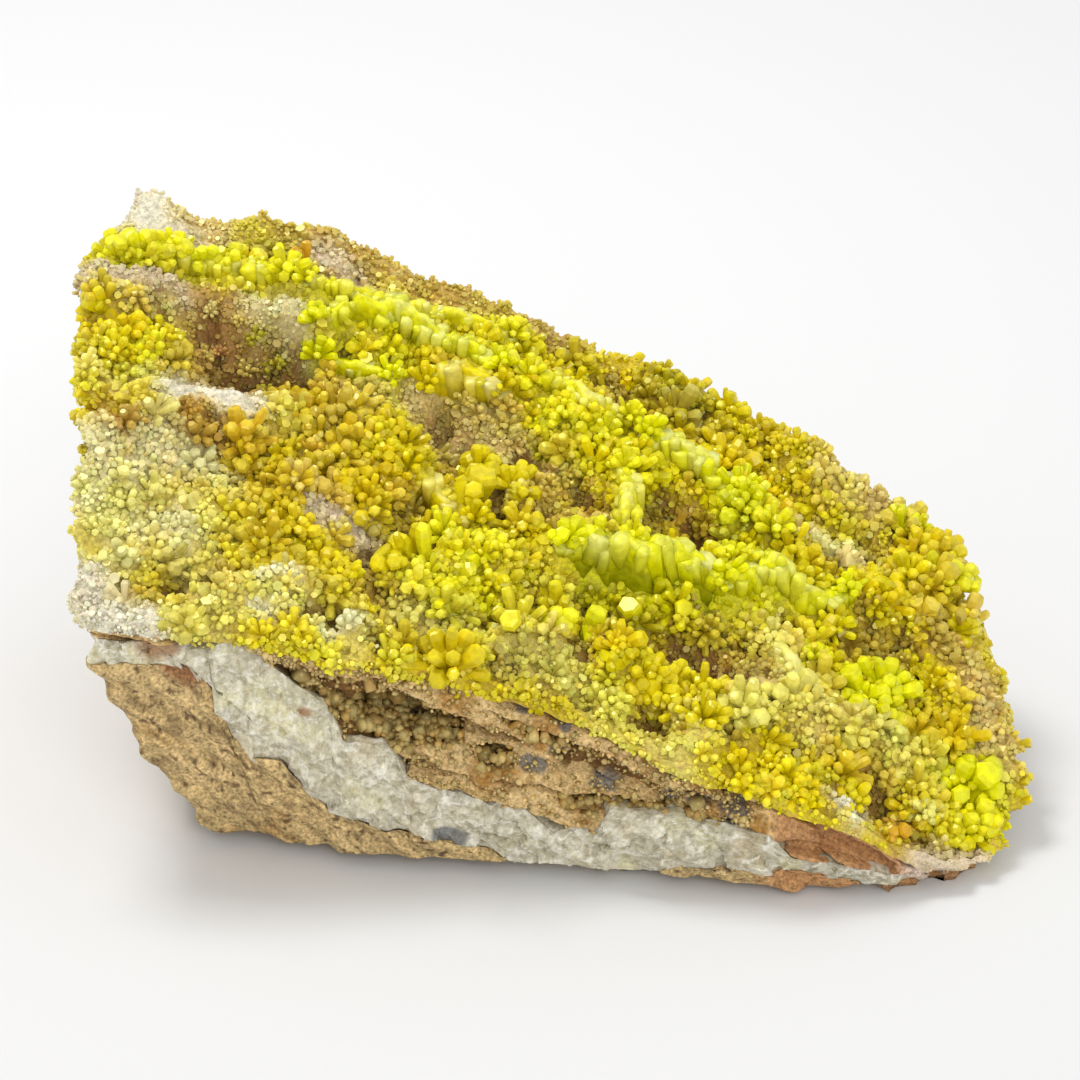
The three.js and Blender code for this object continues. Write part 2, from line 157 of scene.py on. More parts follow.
# Ragged cavities of the druse: x, y, radius, depth.
HOLLOWS = [
    (-33.2, 11.2, 1.7, 2.2), (-9.4, 8, 1.2, 2.6), (-12.6, 5.8, 1.1, 2.2), (-2.4, 3.8, 1.2, 2.2),
    (-31.2, 7.6, 2.0, 2.0), (-28.3, 8.4, 1.5, 2.0), (-23.8, 9.6, 1.8, 2.2),
    (-10, 7, 1.3, 2.6), (-6.6, 5.7, 1.2, 2.4), (-8.4, 1.5, 1.6, 2.4), (-13.6, 3.2, 1.4, 1.8),
    (-16.8, 6.2, 1.5, 1.8), (-1.6, 6.2, 1.5, 2.0), (-4.4, -1.4, 1.5, 1.8), (4.6, 2.7, 1.5, 2.4),
    (6, -0.8, 1.5, 2.4), (0.6, -2, 1.7, 1.8), (4.6, -2.8, 1.4, 1.8), (-14.4, -9.2, 1.9, 3.0),
    (-15.4, -21.2, 1.7, 2.0), (5.2, -12.4, 1.9, 2.6), (-0.6, -12.6, 2.0, 1.8),
    (14.6, -12.8, 2.9, 1.8), (10.8, -21.6, 2.3, 2.2), (15.8, 2.4, 1.5, 2.4), (17.6, -0.6, 1.5, 2.4),
    (32.2, -22, 1.7, 1.9), (-34.4, -20, 2.0, 1.8), (-31.4, -19.6, 2.3, 2.2),
    (-35.6, -2.4, 1.2, 1.1), (-31.8, -2.2, 1.1, 1.2), (40.4, -2.2, 1.7, 1.6),
    (21.8, -12.6, 1.7, 1.4), (26.4, 7.6, 1.6, 1.8), (32, 6.6, 1.4, 1.6), (28.6, -1, 1.5, 1.6),
    (36.4, -9, 1.8, 1.6), (-38.6, 10.4, 1.5, 1.4), (-19.6, 8.6, 1.4, 1.6), (30.4, -8.4, 1.4, 1.4),
    (-24.6, -16.6, 1.2, 1.2), (18, -23.2, 1.6, 1.6), (0.4, 19.8, 1.6, 1.4), (-12.4, 21.6, 1.6, 1.4),
    (-4.8, -16.2, 1.4, 1.6), (23.6, -21.8, 1.4, 1.4), (38.4, -14.6, 1.6, 1.4),
]

# Smooth lumps that stand out of the druse: x, y, radius, height.
LUMPS = [
    (-28.4, 12.4, 1.8, 1.7), (-25.2, 12.2, 1.9, 1.9), (-21.4, 23, 1.8, 1.4), (25.8, -20.2, 2.0, 1.3),
    (-19.4, -9.4, 2.6, 0.9), (-38.6, 13.2, 3.0, 0.8), (29.4, 12.4, 2.2, 0.8),
]

# ---- Colours ---------------------------------------------------------------------------------


def colour(red, green, blue):
    """A colour given in the usual 0 to 255 steps, as the linear values that shaders take."""
    shares = np.array([red, green, blue]) / 255
    return np.where(shares < 0.04045, shares / 12.92, ((shares + 0.055) / 1.055) ** 2.4)


GREEN = colour(214, 208, 4)
DEEP_GREEN = colour(172, 172, 2)
LEMON = colour(238, 230, 24)
YELLOW = colour(228, 208, 8)
GOLD = colour(212, 183, 6)
AMBER = colour(200, 146, 24)
PALE = colour(238, 228, 64)
CREAM = colour(236, 228, 176)
FROST = colour(242, 238, 214)
TAN = colour(202, 172, 92)
OCHRE = colour(172, 126, 56)
RUST = colour(132, 72, 36)
UMBER = colour(78, 46, 24)
WHITE = colour(232, 226, 210)
PINKISH = colour(220, 200, 180)
QUARTZ = colour(214, 207, 180)
MILKY = colour(234, 230, 214)
CLEAR_GREY = colour(176, 170, 148)
HOST = colour(196, 168, 114)
SHELF = colour(220, 188, 130)
SLATE = colour(96, 98, 102)
SANDSTONE = colour(190, 136, 86)
LIME = colour(228, 226, 4)
OLIVE = colour(168, 156, 40)
PRIMROSE = colour(236, 226, 116)
TERRA = colour(190, 134, 88)
STRAW = colour(222, 198, 128)

# Where each look of the druse lies: plan line, radius, colour, and crystal size (1 is usual).
# Where no zone reaches, the common look shows through with its own weight.
ZONES = [
    ([(-28, 25.6), (-22, 26.2), (-14.7, 26), (-6.3, 24.7), (2, 22.4)], 2.8, TAN, 0.38),
    ([(-36.7, 23.8), (-31.6, 24.4)], 2.3, STRAW, 0.3),
    ([(-40.6, 24.4), (-39, 20.6), (-37.2, 22.5)], 2.6, WHITE, 0.1),
    ([(-30, 23), (-25.9, 22)], 2.5, OLIVE, 0.42),
    ([(-22.4, 23.7), (-20.2, 22.4)], 2.0, PINKISH, 0.3),
    ([(-23.7, 20), (-19, 20.6), (-12, 21.4)], 1.7, TAN, 0.5),
    ([(-42.8, 16.6), (-36, 17.6), (-31.2, 18.3), (-26.2, 18.8)], 1.9, LEMON, 1.1),
    ([(-45, 12.5), (-41.3, 13.2), (-37.3, 13.3)], 2.4, PINKISH * 0.9, 0.3),
    ([(-43.9, 10.4), (-42.8, 7), (-38.7, 6.7)], 1.6, YELLOW, 1.0),
    ([(-33.7, 11.9), (-31.6, 9.3), (-30.8, 6)], 3.0, TERRA * 0.7, 0.42),
    ([(-28.4, 13.4), (-24, 13.2)], 2.3, CREAM * 0.9, 0.22),
    ([(-28.5, 8.4), (-23.6, 9.8)], 1.8, UMBER, 0.45),
    ([(-43.1, 2.2), (-38.3, 2.8)], 2.2, PRIMROSE, 0.65),
    ([(-35.8, 3), (-31.5, 2.2), (-27.4, 1.2)], 2.6, WHITE, 0.05),
    ([(-42.1, -3.2), (-40.4, -6.1)], 1.8, OCHRE, 0.5),
    ([(-35.5, -2.5), (-31.7, -2.1)], 1.6, OCHRE, 0.5),
    ([(-23.6, 7), (-21.8, 2.8), (-26, -1.3), (-28.1, -5.7)], 2.9, GOLD, 0.95),
    ([(-18.8, 2.6), (-15.8, -0.3), (-23.3, -5.3), (-28, -9.6)], 3.0, GOLD, 1.0),
    ([(-24.8, -11.9), (-22, -15.4), (-17, -14)], 2.6, YELLOW, 0.95),
    ([(-38, -8), (-36.6, -6.1), (-31.8, -6.3), (-29.8, -7.4)], 2.0, CREAM, 0.55),
    ([(-42.4, -9.7), (-42.4, -14), (-38.6, -14.1), (-33, -13.6)], 2.8, CREAM, 0.55),
    ([(-42.6, -16.4)], 1.5, YELLOW, 0.7),
    ([(-36.6, -16), (-31.6, -15.6)], 1.4, PRIMROSE, 0.75),
    ([(-35, -20.2), (-31, -19.7)], 1.9, OCHRE, 0.55),
    ([(-43, -19), (-41.4, -23.4), (-37, -25)], 2.8, WHITE, 0.4),
    ([(-32, -23.6), (-26.2, -20), (-20.6, -19.5), (-18.2, -22)], 2.2, PRIMROSE, 0.75),
    ([(-26.4, -18.6), (-22.8, -17.6)], 1.0, FROST, 0.2),
    ([(-26.5, -22), (-23.8, -21.2)], 0.9, FROST, 0.2),
    ([(-20.4, -21.6), (-18, -20)], 1.0, FROST, 0.4),
    ([(-22.1, -9.2), (-17.8, -9), (-16.8, -11.6)], 1.8, PINKISH, 0.45),
    ([(-14.3, -9.1)], 1.6, UMBER, 0.5),
    ([(-12.4, -13.6), (-4, -14.4), (1.9, -10.5)], 2.2, LEMON, 0.9),
    ([(-15.4, -21.4)], 1.3, OLIVE, 0.5),
    ([(-12, -18), (-6.6, -19.2), (0, -20.6)], 2.2, PRIMROSE * 0.8, 0.7),
    ([(1.9, -20), (7.5, -24), (13.1, -26.6)], 2.0, PRIMROSE, 0.65),
    ([(-22.4, 17.7), (-12.9, 19.2), (-3, 19.2)], 1.7, LEMON, 0.9),
    ([(-21.6, 14.1), (-19.1, 16.6), (-11.3, 16.8), (-7.4, 15.4)], 1.6, GREEN, 0.9),
    ([(-22.5, 11.6), (-14.9, 11.2)], 1.6, GREEN, 0.85),
    ([(-11.4, 11.1), (-4.1, 12.6)], 1.7, YELLOW, 1.1),
    ([(-18, 5.8), (-14.1, 8.1), (-6, 7.2), (-0.6, 4.7)], 3.0, STRAW * 0.85, 0.5),
    ([(-10, 1.1), (-5, -1)], 1.7, OCHRE, 0.5),
    ([(2, 11.4), (6.1, 9.8), (11, 7.7)], 2.3, LEMON, 0.9),
    ([(-3.1, 14.9), (2.1, 15.3), (8.6, 14.6)], 2.4, GOLD, 0.9),
    ([(0, 18.6), (8, 18.4)], 2.2, YELLOW, 0.75),
    ([(4.5, 2.7), (6, -0.6)], 1.5, OCHRE, 0.5),
    ([(-9.7, -6.4), (-4.9, -7.9)], 2.0, LEMON, 0.95),
    ([(8.2, 0.8), (9.3, -6)], 1.5, LEMON, 1.1),
    ([(5.4, -9.6), (9, -9.8)], 1.7, DEEP_GREEN, 0.8),
    ([(4, -6.6), (10.8, -7.6), (14.7, -7.7), (18.7, -6.4), (24, -6.4)], 2.3, LIME, 1.1),
    ([(13, -12.9), (17, -12.6)], 2.1, OCHRE, 0.5),
    ([(18.8, -14.8), (22.7, -15.9)], 1.9, STRAW, 0.6),
    ([(23, -9.9), (25.4, -14), (26, -17.2)], 1.8, PRIMROSE, 0.8),
    ([(7.4, -15), (11, -18.3), (13.3, -19.9)], 1.7, YELLOW, 1.0),
    ([(10.9, -22)], 1.7, OCHRE, 0.5),
    ([(25.8, -20.2)], 1.8, STRAW, 0.45),
    ([(0.5, -1.8), (5, -2.2)], 2.0, TAN, 0.55),
    ([(15.8, 2.4), (17.6, -0.6)], 1.7, OCHRE, 0.5),
    ([(12.6, 18.2), (16.4, 15.8)], 2.2, OLIVE, 0.9),
    ([(20.4, 14.8), (27.4, 14)], 2.3, YELLOW, 0.75),
    ([(30.1, 12.4), (34.6, 10.2)], 2.2, STRAW, 0.6),
    ([(37.3, 7.8)], 1.8, LIME, 1.0),
    ([(36.8, 1.9), (39.9, 5), (41.4, 1.4)], 2.2, YELLOW, 1.2),
    ([(20.2, 6.9), (20.8, 4.3), (23.4, 1.9)], 1.9, LIME, 1.1),
    ([(26.6, 3.4), (31.6, 3.2)], 2.1, CREAM, 0.5),
    ([(34, -0.5)], 1.9, YELLOW, 1.1),
    ([(12.6, 10.6), (17, 11.6), (25, 9.6)], 2.2, YELLOW, 0.8),
    ([(31.4, -13.3), (34.4, -11.2)], 2.0, LIME, 1.2),
    ([(40.6, -18.7), (43.6, -19)], 2.4, LIME, 1.2),
    ([(23.6, -17.6), (19.1, -20.6), (15.1, -23)], 1.7, PRIMROSE, 0.85),
    ([(32.4, -22.4)], 2.1, OCHRE, 0.5),
    ([(36.1, -25)], 1.4, UMBER, 0.5),
    ([(29.6, -26)], 1.4, WHITE, 0.4),
    ([(36.6, -28.4), (41.4, -25.4)], 2.2, PINKISH, 0.4),
    ([(43.6, -8), (44.8, -15)], 1.9, STRAW, 0.55),
    ([(39.6, -2.1), (42, -5.2)], 1.9, TAN, 0.6),
    ([(29, -7), (36, -6), (39, -11)], 2.2, YELLOW, 0.8),
    ([(29, -17), (36, -17.6)], 2.0, PRIMROSE, 0.75),
]
COMMON_COLOUR = YELLOW
COMMON_SIZE = 0.85
COMMON_WEIGHT = 0.25

# Bunches that stand out of the druse: x, y, lean in x and y, reach, crystals, spread in degrees,
# and colour. The crystals of a bunch are the wider the fewer they are.
BUNCHES = [
    (-42.8, 16.2, -0.3, -0.3, 2.6, 4, 42, LEMON), (-40.2, 17, 0.0, -0.3, 3.2, 4, 36, LIME),
    (-37.5, 17.2, 0.1, -0.3, 2.8, 4, 40, LEMON), (-34.4, 17.8, 0.0, -0.3, 2.2, 5, 44, LIME),
    (-31.4, 18, 0.0, -0.3, 2.2, 5, 44, LEMON), (-28.8, 18.4, 0.0, -0.3, 1.8, 6, 48, LIME),
    (-26.2, 18.6, 0.1, -0.3, 1.7, 6, 48, LEMON), (-24.6, 21.6, -0.2, -0.2, 3.4, 3, 17, AMBER),
    (-43.6, 9.4, -0.5, -0.3, 2.5, 4, 40, YELLOW), (-42.4, 6.4, -0.4, -0.3, 2.1, 7, 54, YELLOW),
    (-38.8, 6.4, 0.0, -0.4, 2.1, 7, 54, LEMON), (-2.2, 13.6, -0.7, 0.3, 3.4, 1, 12, PALE),
    (-6.2, 2.8, -0.2, -0.4, 2.9, 6, 62, YELLOW), (-6.9, -1, -0.5, -0.3, 3.2, 5, 50, YELLOW),
    (-2.8, 1.4, 0.3, -0.4, 2.8, 6, 60, YELLOW), (-12.6, -12.2, -0.25, -0.4, 5.4, 3, 11, YELLOW),
    (-10.8, -12.5, 0.1, -0.3, 4.0, 1, 10, LEMON), (-14, -14.4, -0.2, -0.5, 2.2, 5, 46, YELLOW),
    (4.8, -15.2, 0.5, -0.4, 3.4, 2, 24, LIME), (2, -16.2, -0.2, -0.6, 2.4, 5, 46, LEMON),
    (15.6, -17.4, 0.0, -0.6, 2.9, 11, 62, YELLOW), (8.6, -15.8, 0.2, -0.5, 2.8, 4, 44, LEMON),
    (11, -18, 0.3, -0.5, 2.5, 6, 52, YELLOW), (13.2, -20.8, 0.2, -0.5, 2.2, 6, 54, YELLOW),
    (31.2, -13.2, -0.3, -0.4, 3.2, 5, 46, LIME), (33.8, -11.6, 0.2, -0.2, 3.6, 6, 46, LIME),
    (34.6, -14.2, 0.4, -0.5, 2.6, 5, 46, LEMON), (42.6, -17, 0.6, -0.2, 3.2, 5, 46, LIME),
    (40.2, -17.8, -0.3, -0.3, 3.2, 5, 44, LIME), (42.8, -20, 0.5, -0.5, 3.0, 5, 46, LEMON),
    (40.8, -21.4, 0.2, -0.7, 2.4, 6, 50, LEMON), (33.6, -25.4, 0.0, -1.0, 2.6, 3, 26, AMBER),
    (40.2, 5, 0.7, 0.3, 3.0, 6, 52, YELLOW), (41.6, 1.8, 0.9, 0.0, 3.2, 6, 50, LEMON),
    (37.4, 1.6, 0.1, -0.2, 2.8, 6, 52, YELLOW), (41.8, -2, 0.9, -0.2, 2.4, 6, 50, YELLOW),
    (37.4, 7.8, 0.5, 0.5, 2.2, 6, 52, LIME), (21.6, 14.4, 0.1, 0.2, 1.3, 9, 58, YELLOW),
    (26.6, 13.4, 0.2, 0.2, 1.3, 9, 58, YELLOW), (14, 16.8, 0.1, 0.2, 1.4, 9, 58, OLIVE),
    (20.2, 6.8, 0.0, -0.3, 2.7, 8, 54, LIME), (20.9, 4.2, 0.0, -0.4, 2.7, 8, 54, LIME),
    (23.4, 1.9, 0.1, -0.3, 2.5, 8, 54, LEMON), (34, -0.6, 0.1, -0.4, 3.0, 5, 46, YELLOW),
    (23.8, -17.2, -0.1, -0.4, 3.6, 4, 30, PRIMROSE), (19.4, -20.4, 0.1, -0.5, 3.0, 6, 46, PRIMROSE),
    (15.4, -22.8, 0.0, -0.6, 2.6, 7, 52, YELLOW), (6.4, 9.4, 0.0, -0.3, 2.4, 8, 54, LEMON),
    (2.4, 10.8, -0.1, -0.3, 2.3, 9, 56, LEMON), (9.6, 8, 0.0, -0.4, 2.2, 9, 56, YELLOW),
    (1.6, 14.8, 0.0, 0.0, 1.8, 7, 52, GOLD), (-9.4, -6.6, 0.0, -0.4, 2.6, 8, 54, LEMON),
    (-5.6, -7.8, 0.1, -0.4, 2.6, 6, 50, LEMON), (26.6, -10.6, 0.2, -0.3, 2.4, 7, 52, LIME),
    (-15.8, 0.4, 0.0, -0.4, 2.4, 9, 56, YELLOW), (29.6, -24.4, 0.0, -0.8, 2.2, 6, 50, YELLOW),
    (5.4, -6, -0.4, -0.4, 2.6, 5, 44, LIME), (37, -21.4, 0.0, -0.5, 2.2, 9, 56, PRIMROSE),
    (-33.8, 9.8, 0.3, -0.4, 1.1, 8, 60, TAN), (-31.6, 8.4, 0.0, -0.5, 1.2, 8, 60, TAN),
    (-30.6, 6.4, -0.2, -0.4, 1.1, 7, 60, TAN), (-32.6, 6.9, 0.2, -0.5, 1.0, 7, 60, STRAW),
    (-29.6, 9.6, 0.1, -0.5, 1.2, 8, 60, TAN), (-33.2, 12.4, 0.2, -0.5, 1.1, 8, 60, STRAW),
    (-27.6, 7.6, 0.0, -0.5, 1.4, 7, 60, OLIVE), (-25, 7.2, 0.0, -0.5, 1.6, 7, 60, YELLOW),
    (-32.4, 10.8, 0.0, -0.5, 1.0, 8, 60, TERRA), (-30.2, 11.8, 0.0, -0.5, 1.1, 8, 60, TAN),
    (-28.6, 11, 0.0, -0.5, 1.2, 8, 60, OLIVE), (-26.6, 10.2, 0.0, -0.5, 1.2, 8, 60, OLIVE),
]

# Walls of fused crystals along the ridges: line, height, thickness, colour, and root colour.
WALLS = [
    ([(-37, 17.6), (-33.5, 18), (-29, 17.8), (-26, 18.2)], 1.9, 1.7, LEMON, YELLOW),
    ([(-24, 17.8), (-20.5, 18), (-16, 18.6), (-9, 18.4), (-3, 18.8)], 2.5, 1.5, LEMON, YELLOW),
    ([(-23, 13), (-19.5, 15.6), (-15, 16.4), (-9.6, 15.2), (-4, 13.8)], 3.0, 1.6, LIME, GREEN),
    ([(-22.6, 11.2), (-19, 11.4), (-15, 10.8)], 2.0, 1.4, LIME, GREEN),
    ([(-11.5, 10.4), (-8, 12), (-4, 11.6)], 3.0, 2.4, YELLOW, GOLD),
    ([(-1, 13.6), (4, 12.8), (9, 11)], 2.2, 1.5, LEMON, YELLOW),
    ([(11, 9.4), (15.4, 7.4), (20, 5.6)], 2.6, 1.9, LIME, YELLOW),
    ([(2.4, -7.6), (5.6, -6.4), (9.4, -7), (13.4, -6.4), (17.6, -6.6)], 3.6, 2.5, LIME, DEEP_GREEN),
    ([(18, -6.4), (22, -5.2), (27, -5.6), (30.6, -4.4)], 2.6, 2.0, LIME, GREEN),
    ([(8.3, 4.6), (8.9, 1.4), (8.5, -2), (9.2, -5.4)], 2.9, 1.8, LEMON, GREEN),
    ([(-13, -1.6), (-9.6, -3.6), (-6.4, -4.4)], 2.0, 1.8, YELLOW, GOLD),
    ([(22.6, -9.6), (25, -13.6), (25.8, -16.6)], 2.0, 1.6, PRIMROSE, YELLOW),
]

# ---- Number work -----------------------------------------------------------------------------


def hashed(cell, seed):
    """A repeatable number from 0 to 1 for each whole-number cell, by multiplying and shifting."""
    word, top = 0xFFFFFFFF, 0xFFFFFF
    number = (cell[..., 0] * 73856093) ^ (cell[..., 1] * 19349663) ^ (cell[..., 2] * 83492791)
    number = (number + seed * 1274126177) & word
    number = ((number ^ (number >> 15)) * 2246822519) & word
    number = ((number ^ (number >> 13)) * 3266489917) & word
    return ((number ^ (number >> 16)) & top) / top


def noise(points, size, seed):
    """Smooth noise, -1 to 1: random values at the corners of cubes, blended by 3t^2 - 2t^3."""
    scaled = points / np.asarray(size, float)
    cell = np.floor(scaled).astype(np.int64)
    share = scaled - cell
    share = share * share * (3 - 2 * share)
    total = np.zeros(points.shape[:-1])
    for corner in np.ndindex(2, 2, 2):
        weight = np.prod(np.where(np.array(corner) == 1, share, 1 - share), axis=-1)
        total += weight * hashed(cell + np.array(corner), seed)
    return 2 * total - 1


def layered_noise(points, size, seed, octaves=4, gain=0.5):
    """Noise summed over octaves, each half the size and gain times the height of the last."""
    size = np.asarray(size, float)
    heights = [gain**octave for octave in range(octaves)]
    layers = [
        height * noise(points, size / 2**octave, seed + octave)
        for octave, height in enumerate(heights)
    ]
    return sum(layers) / sum(heights)


def noise_vectors(points, size, seed):
    """A smoothly changing vector for each point: one layered noise for each of its directions."""
    return np.stack([layered_noise(points, size, seed + axis, 3) for axis in range(3)], axis=-1)


def chips(points, size, tilt, seed):
    """Broken facets: each point takes the plane of its nearest scattered centre.

    One centre lies at random in each cube of a lattice. The value is that centre's own random
    height plus a random slope times the way from the centre. The second value returned is the
    centre's random number, for colour.
    """
    steps_up = 0.35
    scaled = points / size
    cell = np.floor(scaled).astype(np.int64)
    nearest = np.full(points.shape[:-1], np.inf)
    height = np.zeros_like(nearest)
    chance = np.zeros_like(nearest)
    for step in np.ndindex(3, 3, 3):
        near = cell + np.array(step) - 1
        randoms = np.stack([hashed(near, seed + draw) for draw in range(6)], axis=-1)
        away = scaled - (near + randoms[..., :3])
        distance = np.sum(away**2, axis=-1)
        slope = 2 * randoms[..., 3:] - 1
        plane = tilt * np.sum(away * slope, axis=-1) + steps_up * slope[..., 0]
        closer = distance < nearest
        nearest = np.where(closer, distance, nearest)
        height = np.where(closer, plane, height)
        chance = np.where(closer, randoms[..., 4], chance)
    return height * size, chance


def smoothstep(low, high, value):
    """0 below low, 1 above high, and a smooth curve between."""
    share = np.clip((value - low) / (high - low), 0, 1)
    return share * share * (3 - 2 * share)


def mixed(first, second, share):
    """From the first colour to the second by share."""
    return first + (second - first) * np.asarray(share)[..., None]


def unit(vectors):
    """Vectors of length 1 with the same directions."""
    return vectors / np.linalg.norm(vectors, axis=-1, keepdims=True)


def plan(x, y):
    """Points of the plan, for noise that doesn't change with height."""
    return np.stack([x, y, np.zeros_like(x)], axis=-1)


def distance_to(line, x, y):
    """Least distance in plan from each point to a line through the given points."""
    line = np.asarray(line, float)
    if len(line) == 1:
        return np.hypot(x - line[0, 0], y - line[0, 1])
    least = np.full(np.shape(x), np.inf)
    for (ax, ay), (bx, by) in zip(line[:-1], line[1:]):
        square = (bx - ax) ** 2 + (by - ay) ** 2
        share = np.clip(((x - ax) * (bx - ax) + (y - ay) * (by - ay)) / square, 0, 1)
        least = np.minimum(least, np.hypot(x - ax - share * (bx - ax), y - ay - share * (by - ay)))
    return least


def run_along(points):
    """How far along a line of points each of them lies."""
    return np.concatenate([[0], np.cumsum(np.linalg.norm(np.diff(points, axis=0), axis=1))])


def inside(outline, x, y):
    """True for the points within a closed outline, by counting its crossings."""
    outline = np.asarray(outline, float)
    found = np.zeros(np.shape(x), bool)
    for (ax, ay), (bx, by) in zip(outline, np.roll(outline, -1, axis=0)):
        if ay != by:
            found ^= ((ay > y) != (by > y)) & (x < ax + (y - ay) / (by - ay) * (bx - ax))
    return found


# ---- The form of the rock --------------------------------------------------------------------


def ripple(x, y, z):
    """The irregular wave that roughens the sides, -1 to 1: the mean of four sines, each with a
    direction and a length of its own, so that together they never repeat over the specimen."""
    waves = np.sin(x * 0.61 + y * 0.23 + 1.3) + np.sin(y * 0.74 - x * 0.31 + z * 0.42)
    waves = waves + np.sin(z * 0.83 + x * 0.52 + 2.1) + np.sin((x + y) * 1.37 + z * 1.1)
    return waves / 4


def bumps(items, x, y):
    """Sum of round bumps, each height times e to the minus distance over radius squared."""
    return sum(
        height * np.exp(-(((x - middle_x) ** 2 + (y - middle_y) ** 2) / radius**2))
        for middle_x, middle_y, radius, height in items
    )


def ridge_height(x, y):
    """Height of the tallest ridge at each point."""
    heights = [
        height * np.exp(-((distance_to(line, x, y) / half_width) ** 2))
        for height, half_width, line in RIDGES
    ]
    return np.max(heights, axis=0)


def plane_height(x, y):
    """The tilted plane that the crystal face lies on."""
    return FACE_LEVEL + FACE_SLOPE_X * x + FACE_SLOPE_Y * y


def face_height(x, y):
    """The crystal face before its fine relief: plane, worn ends, swells, pits, ridges, ripple."""
    finer = 1.6
    rise = bumps(WORN, x, y) + bumps(SWELLS, x, y) + ridge_height(x, y)
    return plane_height(x, y) + rise + FACE_UNEVENNESS * ripple(x * finer, y * finer, 0)


def hole_depth(x, y):
    """How deep the druse's ragged cavities are at each point: the placed hollows, and the peaks
    of a noise away from the left end and the worn corner. A finer noise shifts their outlines,
    and they are shallow at the rim."""
    at = plan(x, y)
    shift, shift_size, deepest = 0.9, 1.9, 2.2
    worn_x, worn_y = 41, -25
    ragged_x = x + shift * layered_noise(at, shift_size, 21, 2)
    ragged_y = y + shift * layered_noise(at, shift_size, 22, 2)
    peaks = smoothstep(0.22, 0.46, layered_noise(at, 4.0, 25, 3))
    depth = deepest * peaks * smoothstep(-36, -24, x)
    depth = depth * smoothstep(8, 13, np.hypot(x - worn_x, y - worn_y))
    for hollow_x, hollow_y, radius, deep in HOLLOWS:
        away = np.hypot(ragged_x - hollow_x, ragged_y - hollow_y) / radius
        depth = np.maximum(depth, deep * smoothstep(1.2, 0.6, away))
    return depth * (0.25 + 0.75 * smoothstep(0.5, 3.0, inward(x, y)))


def relief(x, y):
    """The druse's own relief: broad lumps and knobbly crests, less the cavities."""
    at = plan(x, y)
    lump_height, crest_height, middle = 0.8, 0.7, 0.7
    lumps = layered_noise(at, 7.0, 7, 3)
    crests = 1 - 2.4 * np.abs(layered_noise(at, 4.6, 11, 3))
    uneven = lump_height * lumps + crest_height * crests
    return uneven - hole_depth(x, y) - middle + bumps(LUMPS, x, y)


def druse_floor(x, y):
    """The crystal face with its fine relief, kept over the rock that the crust grows on."""
    at = plan(x, y)
    least_crust, least_height = 0.3, 0.5
    cells = 1 - 2 * np.abs(noise(at, 1.5, 33))
    rough = face_height(x, y) + relief(x, y) + 0.3 * layered_noise(at, 1.2, 31, 3)
    rough = rough + cells * hollow_at(x, y) + 0.14 * noise(at, 0.45, 35)
    spare = least_crust - INNER_SINK * smoothstep(0.0, 4.0, inward(x, y))
    lowest = np.maximum(crust_base(x, y) + spare, least_height)
    return np.maximum(rough, lowest + 0.35 * layered_noise(at, 0.9, 37, 2))


def under_height(x, y):
    """The underside: lifted between its flat resting spots."""
    return np.maximum(0, UNDERSIDE_LIFT * (1 - bumps(RESTS, x, y)) + 0.5 * ripple(x, y, 3))


def along(outline, turn):
    """Points of a closed outline at shares of the way round, straight between its corners."""
    at = np.mod(turn, 1) * len(outline)
    low = np.floor(at).astype(int) % len(outline)
    share = (at - np.floor(at))[..., None]
    return outline[low] * (1 - share) + outline[(low + 1) % len(outline)] * share


def side_point(turn, up):
    """A point of the sides, from the foot (up = 0) to the rim (up = 1), bowed out between."""
    rim, foot = along(RIM, turn), along(FOOT, turn)
    low = under_height(foot[..., 0], foot[..., 1])
    z = low + (face_height(rim[..., 0], rim[..., 1]) - low) * up
    bow = 1 + SIDE_BOW * np.sin(np.pi * up)
    bow = bow + SIDE_ROUGHNESS * ripple(rim[..., 0], rim[..., 1], z * 1.4)
    ground = (foot + (rim - foot) * up[..., None]) * bow[..., None]
    return np.concatenate([ground, z[..., None]], axis=-1)


def side_top(turn):
    """A point of the top edge of the sides."""
    return side_point(turn, np.ones_like(turn))


def side_normal(turn, up):
    """Outward direction of the sides, kept level: the way round crossed with the way up."""
    step, step_up = 2e-3, 1e-2
    around = side_point(turn + step, up) - side_point(turn - step, up)
    higher = side_point(turn, np.minimum(up + step_up, 1))
    lower = side_point(turn, np.maximum(up - step_up, 0))
    return unit(np.cross(around, higher - lower) * np.array([1, 1, 0]))


def boundary(layer, seed):
    """Height of a layer's top over the plan: its front heights, rising to the back, uneven."""
    slope, heights = layer
    heights = np.array(heights, float)
    unevenness = 0.55

    def height(x, y):
        even = np.interp(x, heights[:, 0], heights[:, 1]) + slope * (y - FRONT_Y)
        return even + unevenness * layered_noise(plan(x, y), 3.0, seed, 3)

    return height


quartz_top = boundary(QUARTZ_TOP, 41)
host_top = boundary(HOST_TOP, 43)


def crust_base(x, y):
    """Underside of the crystal crust, which is thin at the front and thickens to the back."""
    even = CRUST_AT_FRONT + CRUST_THICKENS * (y - FRONT_Y)
    thickness = np.clip(even, CRUST_AT_FRONT, CRUST_MOST)
    unevenness = 0.3 * noise(plan(x, y), 2.2, 47)
    return plane_height(x, y) + bumps(WORN, x, y) - thickness + unevenness


def inward(x, y):
    """How far each point of the plan lies in from the rim, by distance to the rim's corners."""
    ring = np.concatenate([RIM, RIM[:1]])
    return np.where(inside(RIM, x, y), distance_to(ring, x, y), 0)


